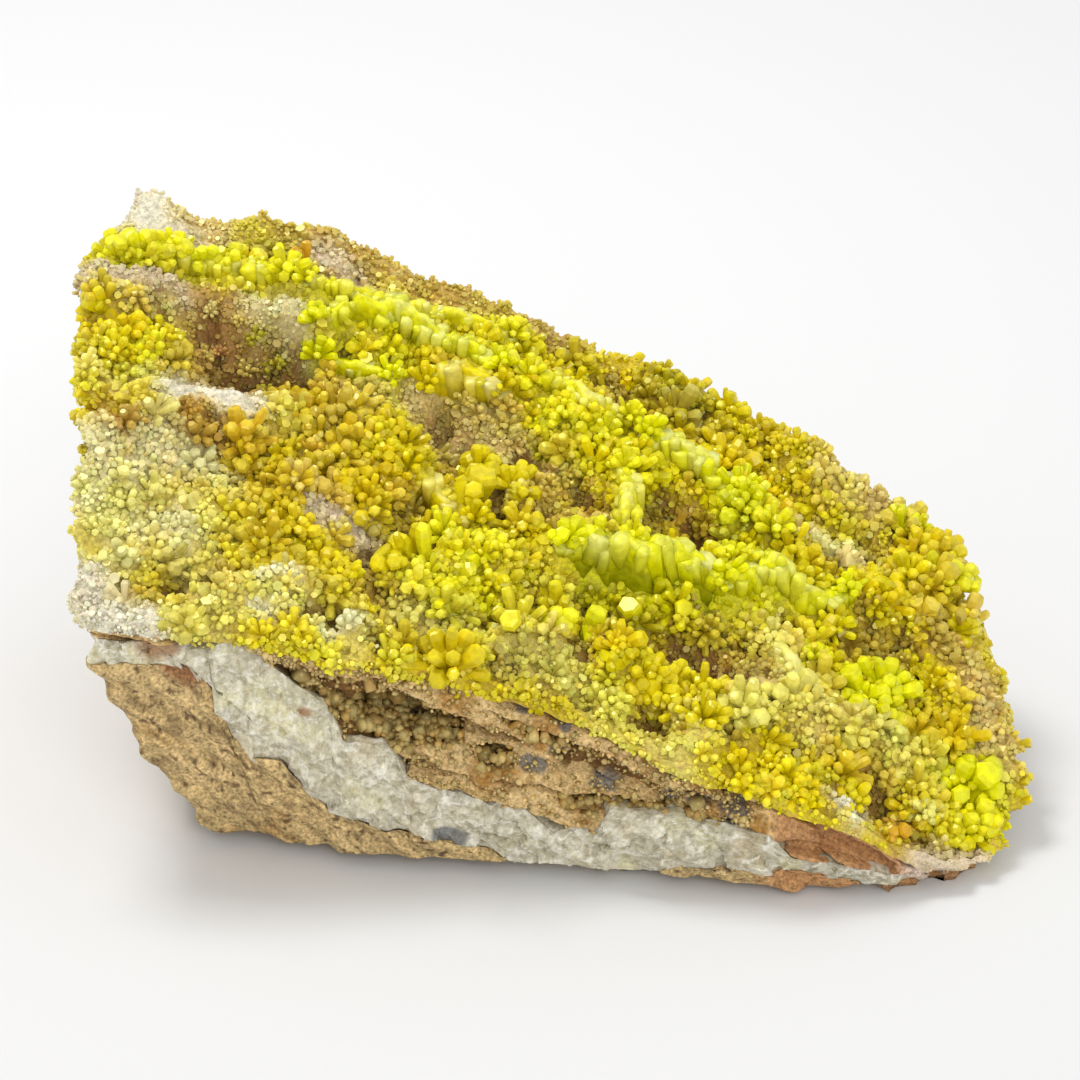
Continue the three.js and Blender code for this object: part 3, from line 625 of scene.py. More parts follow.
def sunk(height):
    """A layer's top as a sheet that sinks away from the rim, so that no cavity cuts it: always
    some way under the druse's floor, and over the ground."""
    under_druse, over_ground, gap = 0.6, 0.05, 0.2

    def sheet(x, y):
        low = np.minimum(height(x, y), crust_base(x, y))
        low = low + 0.45 * layered_noise(plan(x, y), 1.3, 49, 3)
        far = inward(x, y)
        low = low - INNER_SINK * smoothstep(0.3, 4.0, far)
        low = low - MIDDLE_SINK * smoothstep(3.5, 9.0, far) - gap
        return np.maximum(np.minimum(low, druse_floor(x, y) - under_druse), over_ground)

    return sheet


def side_relief(points):
    """Broken unevenness that all the layers share on the sides, in millimetres outwards."""
    return 0.7 * layered_noise(points, 7.0, 51, 4) + 0.25 * layered_noise(points, 1.6, 57, 2)


# ---- Meshes ----------------------------------------------------------------------------------


def new_object(name, data):
    """An object that shows the given data, in the scene."""
    made = bpy.data.objects.new(name, data)
    bpy.context.scene.collection.objects.link(made)
    return made


def build(name, points, quads, triangles, tints, material, smooth=True):
    """Makes a mesh of quads and triangles, with its tint as a colour on every vertex."""
    mesh = bpy.data.meshes.new(name)
    corners = np.concatenate([quads.ravel(), triangles.ravel()]).astype(np.int32)
    triangle_starts = len(quads) * 4 + np.arange(len(triangles)) * 3
    starts = np.concatenate([np.arange(len(quads)) * 4, triangle_starts]).astype(np.int32)
    mesh.vertices.add(len(points))
    mesh.vertices.foreach_set("co", ((points + SHIFT) / 1000).astype(np.float32).ravel())
    mesh.loops.add(len(corners))
    mesh.loops.foreach_set("vertex_index", corners)
    mesh.polygons.add(len(starts))
    mesh.polygons.foreach_set("loop_start", starts)
    mesh.polygons.foreach_set("use_smooth", np.full(len(starts), smooth))
    mesh.update(calc_edges=True)
    rgba = np.concatenate([np.clip(tints, 0, 1), np.ones((len(points), 1))], axis=1)
    tint = mesh.attributes.new("tint", "FLOAT_COLOR", "POINT")
    tint.data.foreach_set("color", rgba.astype(np.float32).ravel())
    mesh.materials.append(material)
    piece = new_object(name, mesh)
    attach(piece, "root")
    return piece


def row_quads(index):
    """Quads between the rows of a table of point numbers, whose last column meets its first."""
    upper, lower = index[:-1], index[1:]
    corners = [upper, np.roll(upper, -1, axis=1), np.roll(lower, -1, axis=1), lower]
    return np.stack(corners, axis=-1).reshape(-1, 4)


def closed_rows(rows):
    """Points, quads and end fans of a closed skin: rings of points from one pole to the other."""
    count, around = rows.shape[:2]
    points = rows.reshape(-1, 3)
    poles = np.stack([rows[0].mean(axis=0), rows[-1].mean(axis=0)])
    index = np.arange(count * around).reshape(count, around)
    first, last = index[0], index[-1]
    first_fan = np.stack([np.roll(first, -1), first, np.full(around, len(points))], axis=-1)
    last_fan = np.stack([last, np.roll(last, -1), np.full(around, len(points) + 1)], axis=-1)
    return np.concatenate([points, poles]), row_quads(index), np.concatenate([first_fan, last_fan])


def turns_round(count, front_share):
    """Shares of the way round the outline, closer together along the front face."""
    past_corner = 0.02
    front_end = CORNER_TURNS[1] + past_corner
    front = np.linspace(0, front_end, int(count * front_share), endpoint=False)
    rest = np.linspace(front_end, 1, count - len(front), endpoint=False)
    return np.concatenate([front, rest])


def crossing(turn, height):
    """How far up the side each turn first meets a height function of the plan: the first of a
    row of stations that is above it, and back from there in proportion."""
    ups = np.linspace(0, 1, 160)
    turns = np.repeat(turn[:, None], len(ups), axis=1)
    line = side_point(turns, np.repeat(ups[None, :], len(turn), axis=0))
    above = line[..., 2] - height(line[..., 0], line[..., 1])
    first = np.argmax(above >= 0, axis=1)
    first = np.where(above.max(axis=1) < 0, len(ups) - 1, first)
    before = np.maximum(first - 1, 0)
    rows = np.arange(len(turn))
    low, high = above[rows, before], above[rows, first]
    share = np.clip(-low / np.where(high - low == 0, 1, high - low), 0, 1)
    return np.clip(ups[before] + share * (ups[first] - ups[before]), 0, 1)


def inward_rings(edge, fractions, height):
    """Rings that carry an edge in towards the middle, at the height of a sheet."""
    rings = []
    for fraction in fractions:
        flat = edge[:, :2] * fraction
        rings.append(np.concatenate([flat, height(flat[:, 0], flat[:, 1])[:, None]], axis=1))
    return np.array(rings)


def layer_rows(turns, low, high, count, detail):
    """The broken side of a layer between two shares of the way up, moved out by its relief, and
    back by a millimetre where the layer thins away. Also the side before it was moved."""
    least_height, thin_below, drawn_back = 1e-4, 0.4, 1.0
    share = np.linspace(0, 1, count)[:, None]
    up = low[None, :] + (np.maximum(high, low + least_height) - low)[None, :] * share
    turn = np.repeat(turns[None, :], count, axis=0)
    ground = side_point(turn, up)
    height = side_top(turns)[:, 2] - side_point(turns, np.zeros_like(turns))[:, 2]
    thin = smoothstep(thin_below, 0.0, (high - low) * height)
    out = side_relief(ground) + detail(ground) - drawn_back * thin[None, :]
    moved = ground + side_normal(turn, up) * out[..., None]
    moved[..., 2] = np.maximum(moved[..., 2], 0)
    return moved, ground


# ---- Materials -------------------------------------------------------------------------------


def new_group(name, inputs, outputs):
    """An empty node group with named sockets; each is (name, kind, default or None)."""
    group = bpy.data.node_groups.new(name, "ShaderNodeTree")
    for in_out, sockets in (("INPUT", inputs), ("OUTPUT", outputs)):
        for label, kind, default in sockets:
            socket = group.interface.new_socket(label, in_out=in_out, socket_type=kind)
            if default is not None:
                socket.default_value = default
    source = group.nodes.new("NodeGroupInput")
    result = group.nodes.new("NodeGroupOutput")
    return group, source, result


def add(tree, kind, settings=None, links=None):
    """Adds a node, sets its properties or sockets, and links its inputs."""
    node = tree.nodes.new(kind)
    for key, value in (settings or {}).items():
        if isinstance(key, str) and hasattr(node, key) and key not in node.inputs:
            setattr(node, key, value)
        else:
            node.inputs[key].default_value = value
    for key, source in (links or {}).items():
        tree.links.new(source, node.inputs[key])
    return node


def grain_group():
    """Mineral grain: the colour made lighter and darker by a cloud, and the cloud's height."""
    scalar, tint = "NodeSocketFloat", "NodeSocketColor"
    group, source, result = new_group(
        "mineral_grain",
        [("Color", tint, (1, 1, 1, 1)), ("Clouds per metre", scalar, 1000.0), ("Contrast", scalar, 0.3)],
        [("Color", tint, None), ("Height", scalar, None)],
    )
    place = add(group, "ShaderNodeTexCoord")
    cloud = add(group, "ShaderNodeTexNoise", {"Detail": 2.0, "Roughness": 0.6},
                {"Vector": place.outputs["Object"], "Scale": source.outputs["Clouds per metre"]})
    either_way = {"From Min": 0.3, "From Max": 0.7, "To Min": -1.0, "To Max": 1.0}
    level = add(group, "ShaderNodeMapRange", either_way, {"Value": cloud.outputs["Fac"]})
    change = add(group, "ShaderNodeMath", {"operation": "MULTIPLY_ADD", 2: 1.0},
                 {0: level.outputs[0], 1: source.outputs["Contrast"]})
    shaded = add(group, "ShaderNodeVectorMath", {"operation": "SCALE"},
                 {0: source.outputs["Color"], "Scale": change.outputs[0]})
    group.links.new(shaded.outputs[0], result.inputs["Color"])
    group.links.new(cloud.outputs["Fac"], result.inputs["Height"])
    return group


MINERAL_GRAIN = grain_group()


def mineral(name, clouds, contrast, bump_mm, roughness, refraction, settings=None):
    """A material that reads the mesh's tint, clouds it, and bumps the surface where asked."""
    material = bpy.data.materials.new(name)
    material.use_nodes = True
    tree = material.node_tree
    tree.nodes.clear()
    tint = add(tree, "ShaderNodeAttribute", {"attribute_name": "tint"})
    grain = add(tree, "ShaderNodeGroup", {"node_tree": MINERAL_GRAIN})
    tree.links.new(tint.outputs["Color"], grain.inputs["Color"])
    grain.inputs["Clouds per metre"].default_value = clouds
    grain.inputs["Contrast"].default_value = contrast
    between = {"To Min": roughness[0], "To Max": roughness[1]}
    rough = add(tree, "ShaderNodeMapRange", between, {"Value": grain.outputs["Height"]})
    shader = add(tree, "ShaderNodeBsdfPrincipled", {"IOR": refraction, **(settings or {})},
                 {"Base Color": grain.outputs["Color"], "Roughness": rough.outputs[0]})
    if bump_mm:
        depth = {"Strength": 1.0, "Distance": bump_mm / 1000}
        bump = add(tree, "ShaderNodeBump", depth, {"Height": grain.outputs["Height"]})
        tree.links.new(bump.outputs[0], shader.inputs["Normal"])
    output = add(tree, "ShaderNodeOutputMaterial")
    tree.links.new(shader.outputs[0], output.inputs["Surface"])
    return material


# How the minerals scatter light inside: share of the light, reach in metres, and how far each
# colour goes. Pyromorphite's own shine is a little yellow.
GLOW = {
    "Subsurface Weight": 0.3,
    "Subsurface Scale": 0.0012,
    "Subsurface Radius": (1.0, 0.8, 0.25),
    "Specular Tint": (1.0, 0.97, 0.5, 1.0),
}
FAINT_GLOW = {**GLOW, "Subsurface Weight": 0.2, "Subsurface Scale": 0.0008}
QUARTZ_GLOW = {
    "Subsurface Weight": 0.3,
    "Subsurface Scale": 0.002,
    "Subsurface Radius": (1.0, 0.95, 0.8),
}

# Each mineral: clouds per metre, contrast, bump in millimetres, least and most roughness, and
# refraction.
CRYSTAL = mineral("pyromorphite_crystal", 700, 0.2, 0.0, (0.12, 0.42), 1.6, GLOW)
SMALL_CRYSTAL = mineral("small_pyromorphite", 700, 0.2, 0.0, (0.08, 0.42), 1.55, FAINT_GLOW)
CRYSTAL_MASS = mineral("pyromorphite_mass", 900, 0.3, 0.1, (0.22, 0.5), 1.55, GLOW)
DRUSE_FLOOR = mineral("druse_floor", 2600, 0.3, 0.2, (0.5, 0.85), 1.6)
VEIN_QUARTZ = mineral("vein_quartz", 2000, 0.22, 0.08, (0.12, 0.45), 1.54, QUARTZ_GLOW)
LIMONITE = mineral("limonite", 2600, 0.4, 0.25, (0.65, 0.95), 1.5)
HOST_ROCK = mineral("host_rock", 3000, 0.5, 0.25, (0.75, 1.0), 1.5)

# ---- The layers of the rock ------------------------------------------------------------------


# Shares of the way from the middle to the rim at which a layer's top is worked out, and those
# for the underside of a layer that lies on another.
TOP_RINGS = (0.996, 0.99, 0.983, 0.975, 0.966, 0.955, 0.94, 0.92, 0.89, 0.84, 0.75, 0.5, 0.25)
UNDER_RINGS = (0.3, 0.6, 0.9)


def blot(points, x, z, wide, high):
    """A soft round mark that shows on the front, 1 at its middle and less with the distance."""
    return np.exp(-(((points[:, 0] - x) / wide) ** 2 + ((points[:, 2] - z) / high) ** 2))


def fibres(points):
    """Fine fibres of the host rock, which run down to the right: noise drawn out that way."""
    slant, lengthwise, through, size = 0.7, 0.3, 0.5, 0.5
    down_right = (points[..., 0] - points[..., 2]) * slant
    up_right = (points[..., 0] + points[..., 2]) * slant
    drawn = np.stack([down_right * lengthwise, points[..., 1] * through, up_right], axis=-1)
    return layered_noise(drawn, size, 61, 3)


def host_detail(points):
    """Sandy lumps and fibres on the host rock."""
    return 0.28 * layered_noise(points, 2.0, 65, 4) + 0.14 * fibres(points)


def host_tint(points):
    """Tan rock with ochre clouds, dark and light fibres and dark specks. On the front its upper
    left end is stained with rust, and its right end is sandstone."""
    x, front = points[:, 0], points[:, 1] < 0
    cloud = layered_noise(points, 5.0, 63, 4)
    fibre = fibres(points)
    tint = mixed(HOST, OCHRE, 0.7 * smoothstep(0.0, 0.6, cloud))
    tint = mixed(tint, UMBER, 0.5 * smoothstep(0.05, 0.5, -fibre))
    tint = mixed(tint, SHELF * 1.1, 0.8 * smoothstep(0.02, 0.35, fibre))
    tint = mixed(tint, UMBER, 0.8 * smoothstep(0.45, 0.7, noise(points, 0.45, 69)))
    stain = blot(points, -33, 24, 3.4, 3.4)
    tint = mixed(tint, RUST, smoothstep(0.3, 0.7, stain + 0.3 * cloud) * 0.8 * front)
    return mixed(tint, SANDSTONE, 0.8 * smoothstep(19, 23, x) * front)


def host_piece():
    """The host rock: underside, then its side up to the quartz, then in over its top."""
    turns = turns_round(820, 0.5)
    top = np.minimum(crossing(turns, host_top), crossing(turns, crust_base))
    rows, _ = layer_rows(turns, np.zeros_like(top), top, 86, host_detail)
    below = inward_rings(rows[0], np.linspace(0.06, 0.98, 16), under_height)
    over = inward_rings(rows[-1], TOP_RINGS, sunk(host_top))
    points, quads, fans = closed_rows(np.concatenate([below, rows, over]))
    tint = host_tint(points)
    piece = build("host_rock_surface", points, quads, fans, tint, HOST_ROCK)
    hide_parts("host_rock")


def small_facets(points):
    """The smaller broken facets of the quartz, whose own numbers also tint them."""
    return chips(points, 0.8, 0.6, 79)


def quartz_detail(points):
    """Broken crystalline facets of two sizes on the vein."""
    return 0.35 * chips(points, 2.6, 0.5, 71)[0] + 0.26 * small_facets(points)[0]


def quartz_tint(points):
    """Grey-white facets, darker to the right, with cream and clear clouds and milky cracks. Rust
    stains the upper left end, slate the foot, and the right end is pinkish."""
    x, front = points[:, 0], points[:, 1] < 0
    cloud = layered_noise(points, 4.0, 83, 3)
    _, facet = small_facets(points)
    tint = mixed(QUARTZ, MILKY, facet) * (0.7 + 0.26 * facet)[:, None] * np.array([1.0, 0.97, 0.89])
    tint = tint * (1 - 0.14 * smoothstep(-4, 22, x))[:, None]
    tint = mixed(tint, CREAM, 0.5 * smoothstep(0.1, 0.5, cloud))
    tint = mixed(tint, HOST * 0.9, 0.3 * smoothstep(0.1, 0.6, -cloud))
    clear = smoothstep(0.1, 0.5, layered_noise(points, 1.8, 85, 3))
    tint = mixed(tint, CLEAR_GREY, 0.5 * clear)
    crack = smoothstep(0.09, 0.0, np.abs(layered_noise(points, 1.5, 87, 2)))
    tint = mixed(tint, MILKY * 1.08, 0.85 * crack)
    stain = blot(points, -35, 26.5, 2.6, 2.4) + blot(points, -22, 18.6, 0.7, 0.6)
    tint = mixed(tint, RUST * 0.5 + OCHRE * 0.5, 0.8 * smoothstep(0.3, 0.7, stain + 0.4 * cloud))
    dark = blot(points, -8.6, 4.6, 2.2, 1.6)
    tint = mixed(tint, SLATE, 0.8 * smoothstep(0.35, 0.6, dark + 0.25 * cloud) * front)
    return mixed(tint, PINKISH, 0.6 * smoothstep(33, 37, x))


def quartz_piece():
    """The vein: in from its lower edge to the middle underneath, its side, and in over its top."""
    turns = turns_round(900, 0.6)
    low = crossing(turns, host_top)
    top = np.minimum(crossing(turns, quartz_top), crossing(turns, crust_base))
    rows, _ = layer_rows(turns, np.minimum(low, top), top, 60, quartz_detail)
    below = inward_rings(rows[0], UNDER_RINGS, sunk(host_top))
    over = inward_rings(rows[-1], TOP_RINGS, sunk(quartz_top))
    points, quads, fans = closed_rows(np.concatenate([below, rows, over]))
    tint = quartz_tint(points)
    piece = build("quartz_vein_surface", points, quads, fans, tint, VEIN_QUARTZ, False)
    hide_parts("quartz_vein")


# Blue-grey mineral on the front of the ledges: x, z, radius.
SLATE_SPOTS = [
    (-12.4, 22.6, 1.6), (-10.4, 23.6, 1.2), (-0.6, 13.2, 1.7), (1.6, 14.6, 1.0), (6.2, 11.6, 1.5),
    (15, 10.6, 1.6), (18.4, 9.6, 1.5), (12.4, 10.4, 1.2), (-1.6, 18.4, 0.9), (2.4, 16.8, 0.8),
]


def slot_depth(points):
    """How far each point of the front face is cut back by the open slots, whose outlines are
    made ragged by a noise."""
    ragged = points + 0.45 * layered_noise(points, 1.6, 91, 2)[..., None]
    x, z = ragged[..., 0], ragged[..., 2]
    depth = np.zeros_like(x)
    for deep, outline in SLOTS:
        ring = outline + [outline[0]]
        within = np.where(inside(outline, x, z), 1, -1) * distance_to(ring, x, z)
        depth = np.maximum(depth, deep * smoothstep(-0.05, 0.5, within))
    return np.where(points[..., 1] < 0, depth, 0)


def shelves(points):
    """Thin shelves that follow the crust, 1 on a shelf and 0 in the gap under it: noise drawn
    out along the layers, with the gaps closed here and there."""
    x, y = points[..., 0], points[..., 1]
    drawn_out = 0.13
    depth = crust_base(x, y) - points[..., 2] + 0.5 * layered_noise(plan(x, y), 5.0, 95, 2)
    drawn = np.stack([x * drawn_out, y * drawn_out, depth], axis=-1)
    bands = layered_noise(drawn, 1.0, 97, 2)
    closed = layered_noise(points * np.array([1, 1, 2]), 5.0, 99, 2)
    return smoothstep(-0.22, 0.0, bands + 0.35 * np.clip(closed, -0.4, 1))


def ledge_detail(points):
    """Crumbly shelves stand out, and the gaps between them are cut back."""
    gap_depth = 1.5
    crumbs = 0.4 * layered_noise(points, 1.0, 101, 3) + 0.25 * chips(points, 0.6, 0.6, 105)[0]
    return gap_depth * shelves(points) - gap_depth + crumbs


def ledge_bottom(x, y):
    """What the ledges lie on: the vein, or the host rock where that stands higher."""
    return np.maximum(quartz_top(x, y), host_top(x, y))


def ledges_tint(points, recess):
    """Ochre shelves whose gaps are darkened to umber as painted shade, with deeper painted shade
    in the slots; sandstone and then pinkish at the right end, with slate spots on the front."""
    x, front = points[:, 0], points[:, 1] < 0
    cloud = layered_noise(points, 4.0, 103, 3)
    fine = layered_noise(points, 0.8, 107, 3)
    tint = mixed(OCHRE, SHELF, smoothstep(-0.5, 0.3, cloud + 0.5 * fine))
    # Painted shade: the cut-back gaps between the shelves are darkened to umber.
    tint = mixed(OCHRE * 0.4 + UMBER * 0.4, tint, smoothstep(0.1, 0.9, shelves(points)))
    # Painted shade: the backs of the slots are darkened grey-brown by how deep they are cut.
    tint = mixed(tint, OCHRE * 0.25 + SLATE * 0.45, 0.85 * smoothstep(0.4, 2.2, recess))
    tint = mixed(tint, SANDSTONE, 0.85 * smoothstep(21, 23, x + cloud) * front)
    tint = mixed(tint, PINKISH, 0.9 * smoothstep(33.5, 35.5, x + cloud))
    for spot_x, spot_z, radius in SLATE_SPOTS:
        spot = blot(points, spot_x, spot_z, radius, radius / 1.5)
        tint = mixed(tint, SLATE, 0.8 * smoothstep(0.35, 0.6, spot + 0.3 * fine) * front)
    return tint * (1 + 0.2 * fine)[:, None]


def ledges_piece():
    """The limonite ledges, with their slots cut straight back into the front. Returns their
    points, and how far each was cut back."""
    turns = turns_round(980, 0.66)
    low = np.maximum(crossing(turns, quartz_top), crossing(turns, host_top))
    top = crossing(turns, crust_base)
    rows, ground = layer_rows(turns, np.minimum(low, top), top, 84, ledge_detail)
    depth = slot_depth(ground)
    rows[..., 1] += depth
    below = inward_rings(rows[0], UNDER_RINGS, sunk(ledge_bottom))
    over = inward_rings(rows[-1], TOP_RINGS[3:], sunk(crust_base))
    points, quads, fans = closed_rows(np.concatenate([below, rows, over]))
    start = len(below) * len(turns)
    recess = np.zeros(len(points))
    recess[start:start + depth.size] = depth.ravel()
    tint = ledges_tint(points, recess)
    piece = build("limonite_ledges_surface", points, quads, fans, tint, LIMONITE)
    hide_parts("limonite_ledges")
    return points, recess


# ---- The crystal crust -----------------------------------------------------------------------


def rim_points(turn):
    """The rim of the crystal face, chipped by the relief of the sides, at its fine height."""
    top = side_top(turn)
    moved = top + side_normal(turn, np.ones_like(turn)) * side_relief(top)[..., None]
    moved[..., 2] = druse_floor(moved[..., 0], moved[..., 1])
    return moved


def crust_foot(turn):
    """How far up the sides the crust's broken edge begins, always a little under the rim."""
    highest = 0.999
    return np.minimum(crossing(turn, crust_base), highest)


def rim_stretch(start, end, count):
    """Turns from start to end that are evenly spaced along the rim."""
    samples = 600
    turn = np.linspace(start, end, samples)
    run = run_along(side_top(turn)[:, :2])
    return np.interp(np.linspace(0, run[-1], count), run, turn)


def look_at(x, y):
    """The druse's colour and crystal size at each point: the mean of the zones, each weighing
    less with the distance from its line, along edges that a noise makes ragged."""
    at = plan(x, y)
    ragged_x = x + 1.6 * layered_noise(at, 3.0, 111, 3)
    ragged_y = y + 1.6 * layered_noise(at, 3.0, 113, 3)
    colours = np.zeros((*np.shape(x), 3)) + COMMON_COLOUR * COMMON_WEIGHT
    sizes = np.zeros(np.shape(x)) + COMMON_SIZE * COMMON_WEIGHT
    total = np.full(np.shape(x), COMMON_WEIGHT)
    for line, radius, zone_colour, size in ZONES:
        distance = distance_to(line, ragged_x, ragged_y)
        weight = np.exp(-((distance / radius) ** 2)) ** 1.5 * 2
        colours += weight[..., None] * zone_colour
        sizes += weight * size
        total += weight
    blend = colours / total[..., None]
    cloud = layered_noise(at, 5.0, 115, 3)
    yellow = smoothstep(0.25, 0.5, blend[..., 0] - blend[..., 2])
    blend = mixed(blend, AMBER, 0.14 * yellow * smoothstep(0.05, 0.5, cloud))
    return mixed(blend, LEMON, 0.4 * yellow * smoothstep(0.05, 0.5, -cloud)), sizes / total


def face_patch(front, right, back, left):
    """The crystal face as a patch stretched between four stretches of rim: (1-v) front + v back
    + (1-u) left + u right less the corners' blend, lifted to its height and roughened inside."""
    u = np.linspace(0, 1, len(front))[None, :, None]
    v = np.linspace(0, 1, len(right))[:, None, None]
    near, far = rim_points(front), rim_points(back)[::-1]
    west, east = rim_points(left)[::-1], rim_points(right)
    sides = (1 - v) * near[None] + v * far[None] + (1 - u) * west[:, None] + u * east[:, None]
    corners = (1 - u) * (1 - v) * near[0] + u * (1 - v) * near[-1]
    corners = corners + (1 - u) * v * far[0] + u * v * far[-1]
    patch = sides - corners
    patch[..., 2] = druse_floor(patch[..., 0], patch[..., 1])
    away_from_rim = smoothstep(0.3, 2.0, inward(patch[..., 0], patch[..., 1]))[..., None]
    return patch + 0.4 * away_from_rim * noise_vectors(patch, 1.4, 161)


def crust_edge(turn, count):
    """The crust's broken edge in rows from the rim down, then its underside in to the middle."""
    low = crust_foot(turn)
    share = np.linspace(1, 0, count + 1)[1:, None]
    up = low[None, :] + (1 - low)[None, :] * share
    turns = np.repeat(turn[None, :], count, axis=0)
    ground = side_point(turns, up)
    out = side_relief(ground) + 0.5 * layered_noise(ground, 1.3, 117, 3)
    wall = ground + side_normal(turns, up) * out[..., None]
    under = inward_rings(wall[-1], TOP_RINGS[3::2], sunk(crust_base))
    return np.concatenate([wall, under])


def crust_tint(points):
    """The druse's own colours, patched with earth where they aren't pale, and rusty brown in the
    hollows. Beside the ridge walls they stay clean."""
    x, y = points[:, 0], points[:, 1]
    tint, _ = look_at(x, y)
    fine = layered_noise(points, 1.1, 119, 3)
    earth = mixed(AMBER, OCHRE, smoothstep(-0.3, 0.4, fine))
    open_face = 1 - smoothstep(1.6, 0.2, beside_wall(x, y))
    patches = (0.25 + 0.4 * smoothstep(0.1, 0.5, fine)) * open_face * (1 - whiteness(tint))
    tint = mixed(tint, earth, patches)
    tint = mixed(tint, RUST * 0.4 + OCHRE * 0.45, 0.7 * hollow_at(x, y) * open_face)
    return tint * (0.95 + 0.25 * fine)[:, None]


def crust_piece():
    """The crust without its crystals, one closed skin: the face, then its broken edge and its
    underside. Returns the face's points as a grid."""
    across, deep = 390, 210
    corners = (*CORNER_TURNS, 1)
    stretches = [
        rim_stretch(corners[side], corners[side + 1], count)
        for side, count in enumerate((across, deep, across, deep))
    ]
    face = face_patch(*stretches)
    edge = crust_edge(np.concatenate([stretch[:-1] for stretch in stretches]), 7)
    points = np.concatenate([face.reshape(-1, 3), edge.reshape(-1, 3), edge[-1].mean(axis=0)[None]])

    grid = np.arange(across * deep).reshape(deep, across)
    face_corners = [grid[:-1, :-1], grid[:-1, 1:], grid[1:, 1:], grid[1:, :-1]]
    face_quads = np.stack(face_corners, axis=-1).reshape(-1, 4)
    ring = np.concatenate([grid[0, :-1], grid[:-1, -1], grid[-1, :0:-1], grid[:0:-1, 0]])
    lower = grid.size + np.arange(len(edge) * len(ring)).reshape(len(edge), len(ring))
    # These rows run down, not up, so that their corners are taken the other way round.
    edge_quads = row_quads(np.concatenate([ring[None, :], lower]))[:, ::-1]
    last = lower[-1]
    pole = np.full(len(ring), len(points) - 1)
    fan = np.stack([np.roll(last, -1), last, pole], axis=-1)
    quads, tint = np.concatenate([face_quads, edge_quads]), crust_tint(points)
    piece = build("crust_floor", points, quads, fan, tint, DRUSE_FLOOR, False)
    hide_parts("pyromorphite_crust")
    return face


# ---- Crystals --------------------------------------------------------------------------------

# Profiles from the buried root to the tip: share of the length, share of the radius, and share
# of the way from the root's colour to the tip's.
BARREL = [(-0.4, 0.85, 0), (0.88, 1.0, 0.8), (1.0, 0.8, 1)]
STUB = [(-0.5, 0.85, 0), (1.0, 0.94, 1)]
RAY = [(0.1, 0.55, 0), (0.8, 1.0, 0.7), (0.96, 0.82, 1), (1.0, 0.5, 1)]
SHORT_RAY = [(0.1, 0.6, 0), (0.84, 1.0, 0.8), (1.0, 0.64, 1)]
BUD = [(0.0, 0.6, 0), (1.0, 0.92, 1)]
NO_TRIANGLES = np.zeros((0, 3), int)
SIDES = 6
RING_UNEVENNESS = 0.14
GOLDEN_ANGLE = math.pi * (3 - math.sqrt(5))


def normals_at(x, y):
    """Upward direction of the druse, from the heights a little to each side."""
    step = 0.7

    def height(at_x, at_y):
        return face_height(at_x, at_y) + 0.8 * relief(at_x, at_y)

    slope_x = (height(x + step, y) - height(x - step, y)) / (2 * step)
    slope_y = (height(x, y + step) - height(x, y - step)) / (2 * step)
    return unit(np.stack([-slope_x, -slope_y, np.ones_like(x)], axis=-1))


def frame_round(axes):
    """Two directions square to each axis and to each other."""
    helper = np.where(np.abs(axes[:, :1]) < 0.9, [[1.0, 0, 0]], [[0, 1.0, 0]])
    first = unit(np.cross(axes, helper))
    return first, np.cross(axes, first)


def prism_faces(rings):
    """Quads of one crystal: its walls from ring to ring, and two quads over each end."""
    here = np.arange(SIDES)
    following = (here + 1) % SIDES
    walls = []
    for ring in range(rings - 1):
        lower, upper = ring * SIDES, (ring + 1) * SIDES
        corners = [lower + here, lower + following, upper + following, upper + here]
        walls.append(np.stack(corners, axis=-1))
    root = np.array([(3, 2, 1, 0), (5, 4, 3, 0)])
    tip = (rings - 1) * SIDES + np.array([(0, 1, 2, 3), (0, 3, 4, 5)])
    return np.concatenate([*walls, root, tip])


def crystals(name, seats, axes, radii, lengths, profile, roots, tips, random, parts=1,
             rounded=False, material=SMALL_CRYSTAL):
    """Joined six-sided crystals: a slightly uneven ring of points round each crystal's axis at
    every row of the profile. They are shared out over the parts from left to right."""
    count, rings = len(seats), len(profile)
    axes = unit(axes)
    first, second = frame_round(axes)
    sides = np.arange(SIDES)[None, :] * np.pi / 3
    angle = random.uniform(0, 2 * np.pi, count)[:, None] + sides
    uneven = 1 + RING_UNEVENNESS * random.uniform(-1, 1, (count, SIDES))
    circle = np.cos(angle)[..., None] * first[:, None] + np.sin(angle)[..., None] * second[:, None]
    circle = circle * (uneven * radii[:, None])[..., None]
    heights, widths, tones = np.array(profile).T
    centres = seats[:, None] + axes[:, None] * (heights[None, :] * lengths[:, None])[..., None]
    points = centres[:, :, None] + circle[:, None] * widths[None, :, None, None]
    tints = roots[:, None] + (tips - roots)[:, None] * tones[None, :, None]
    tints = np.repeat(tints[:, :, None], SIDES, axis=2)
    faces = prism_faces(rings)
    for part, chosen in enumerate(np.array_split(np.argsort(seats[:, 0]), parts)):
        label = name if parts == 1 else f"{name}_{part + 1}"
        starts = (np.arange(len(chosen)) * rings * SIDES)[:, None, None]
        quads = (starts + faces[None]).reshape(-1, 4)
        build(label, points[chosen].reshape(-1, 3), quads, NO_TRIANGLES,
              tints[chosen].reshape(-1, 3), material, rounded)


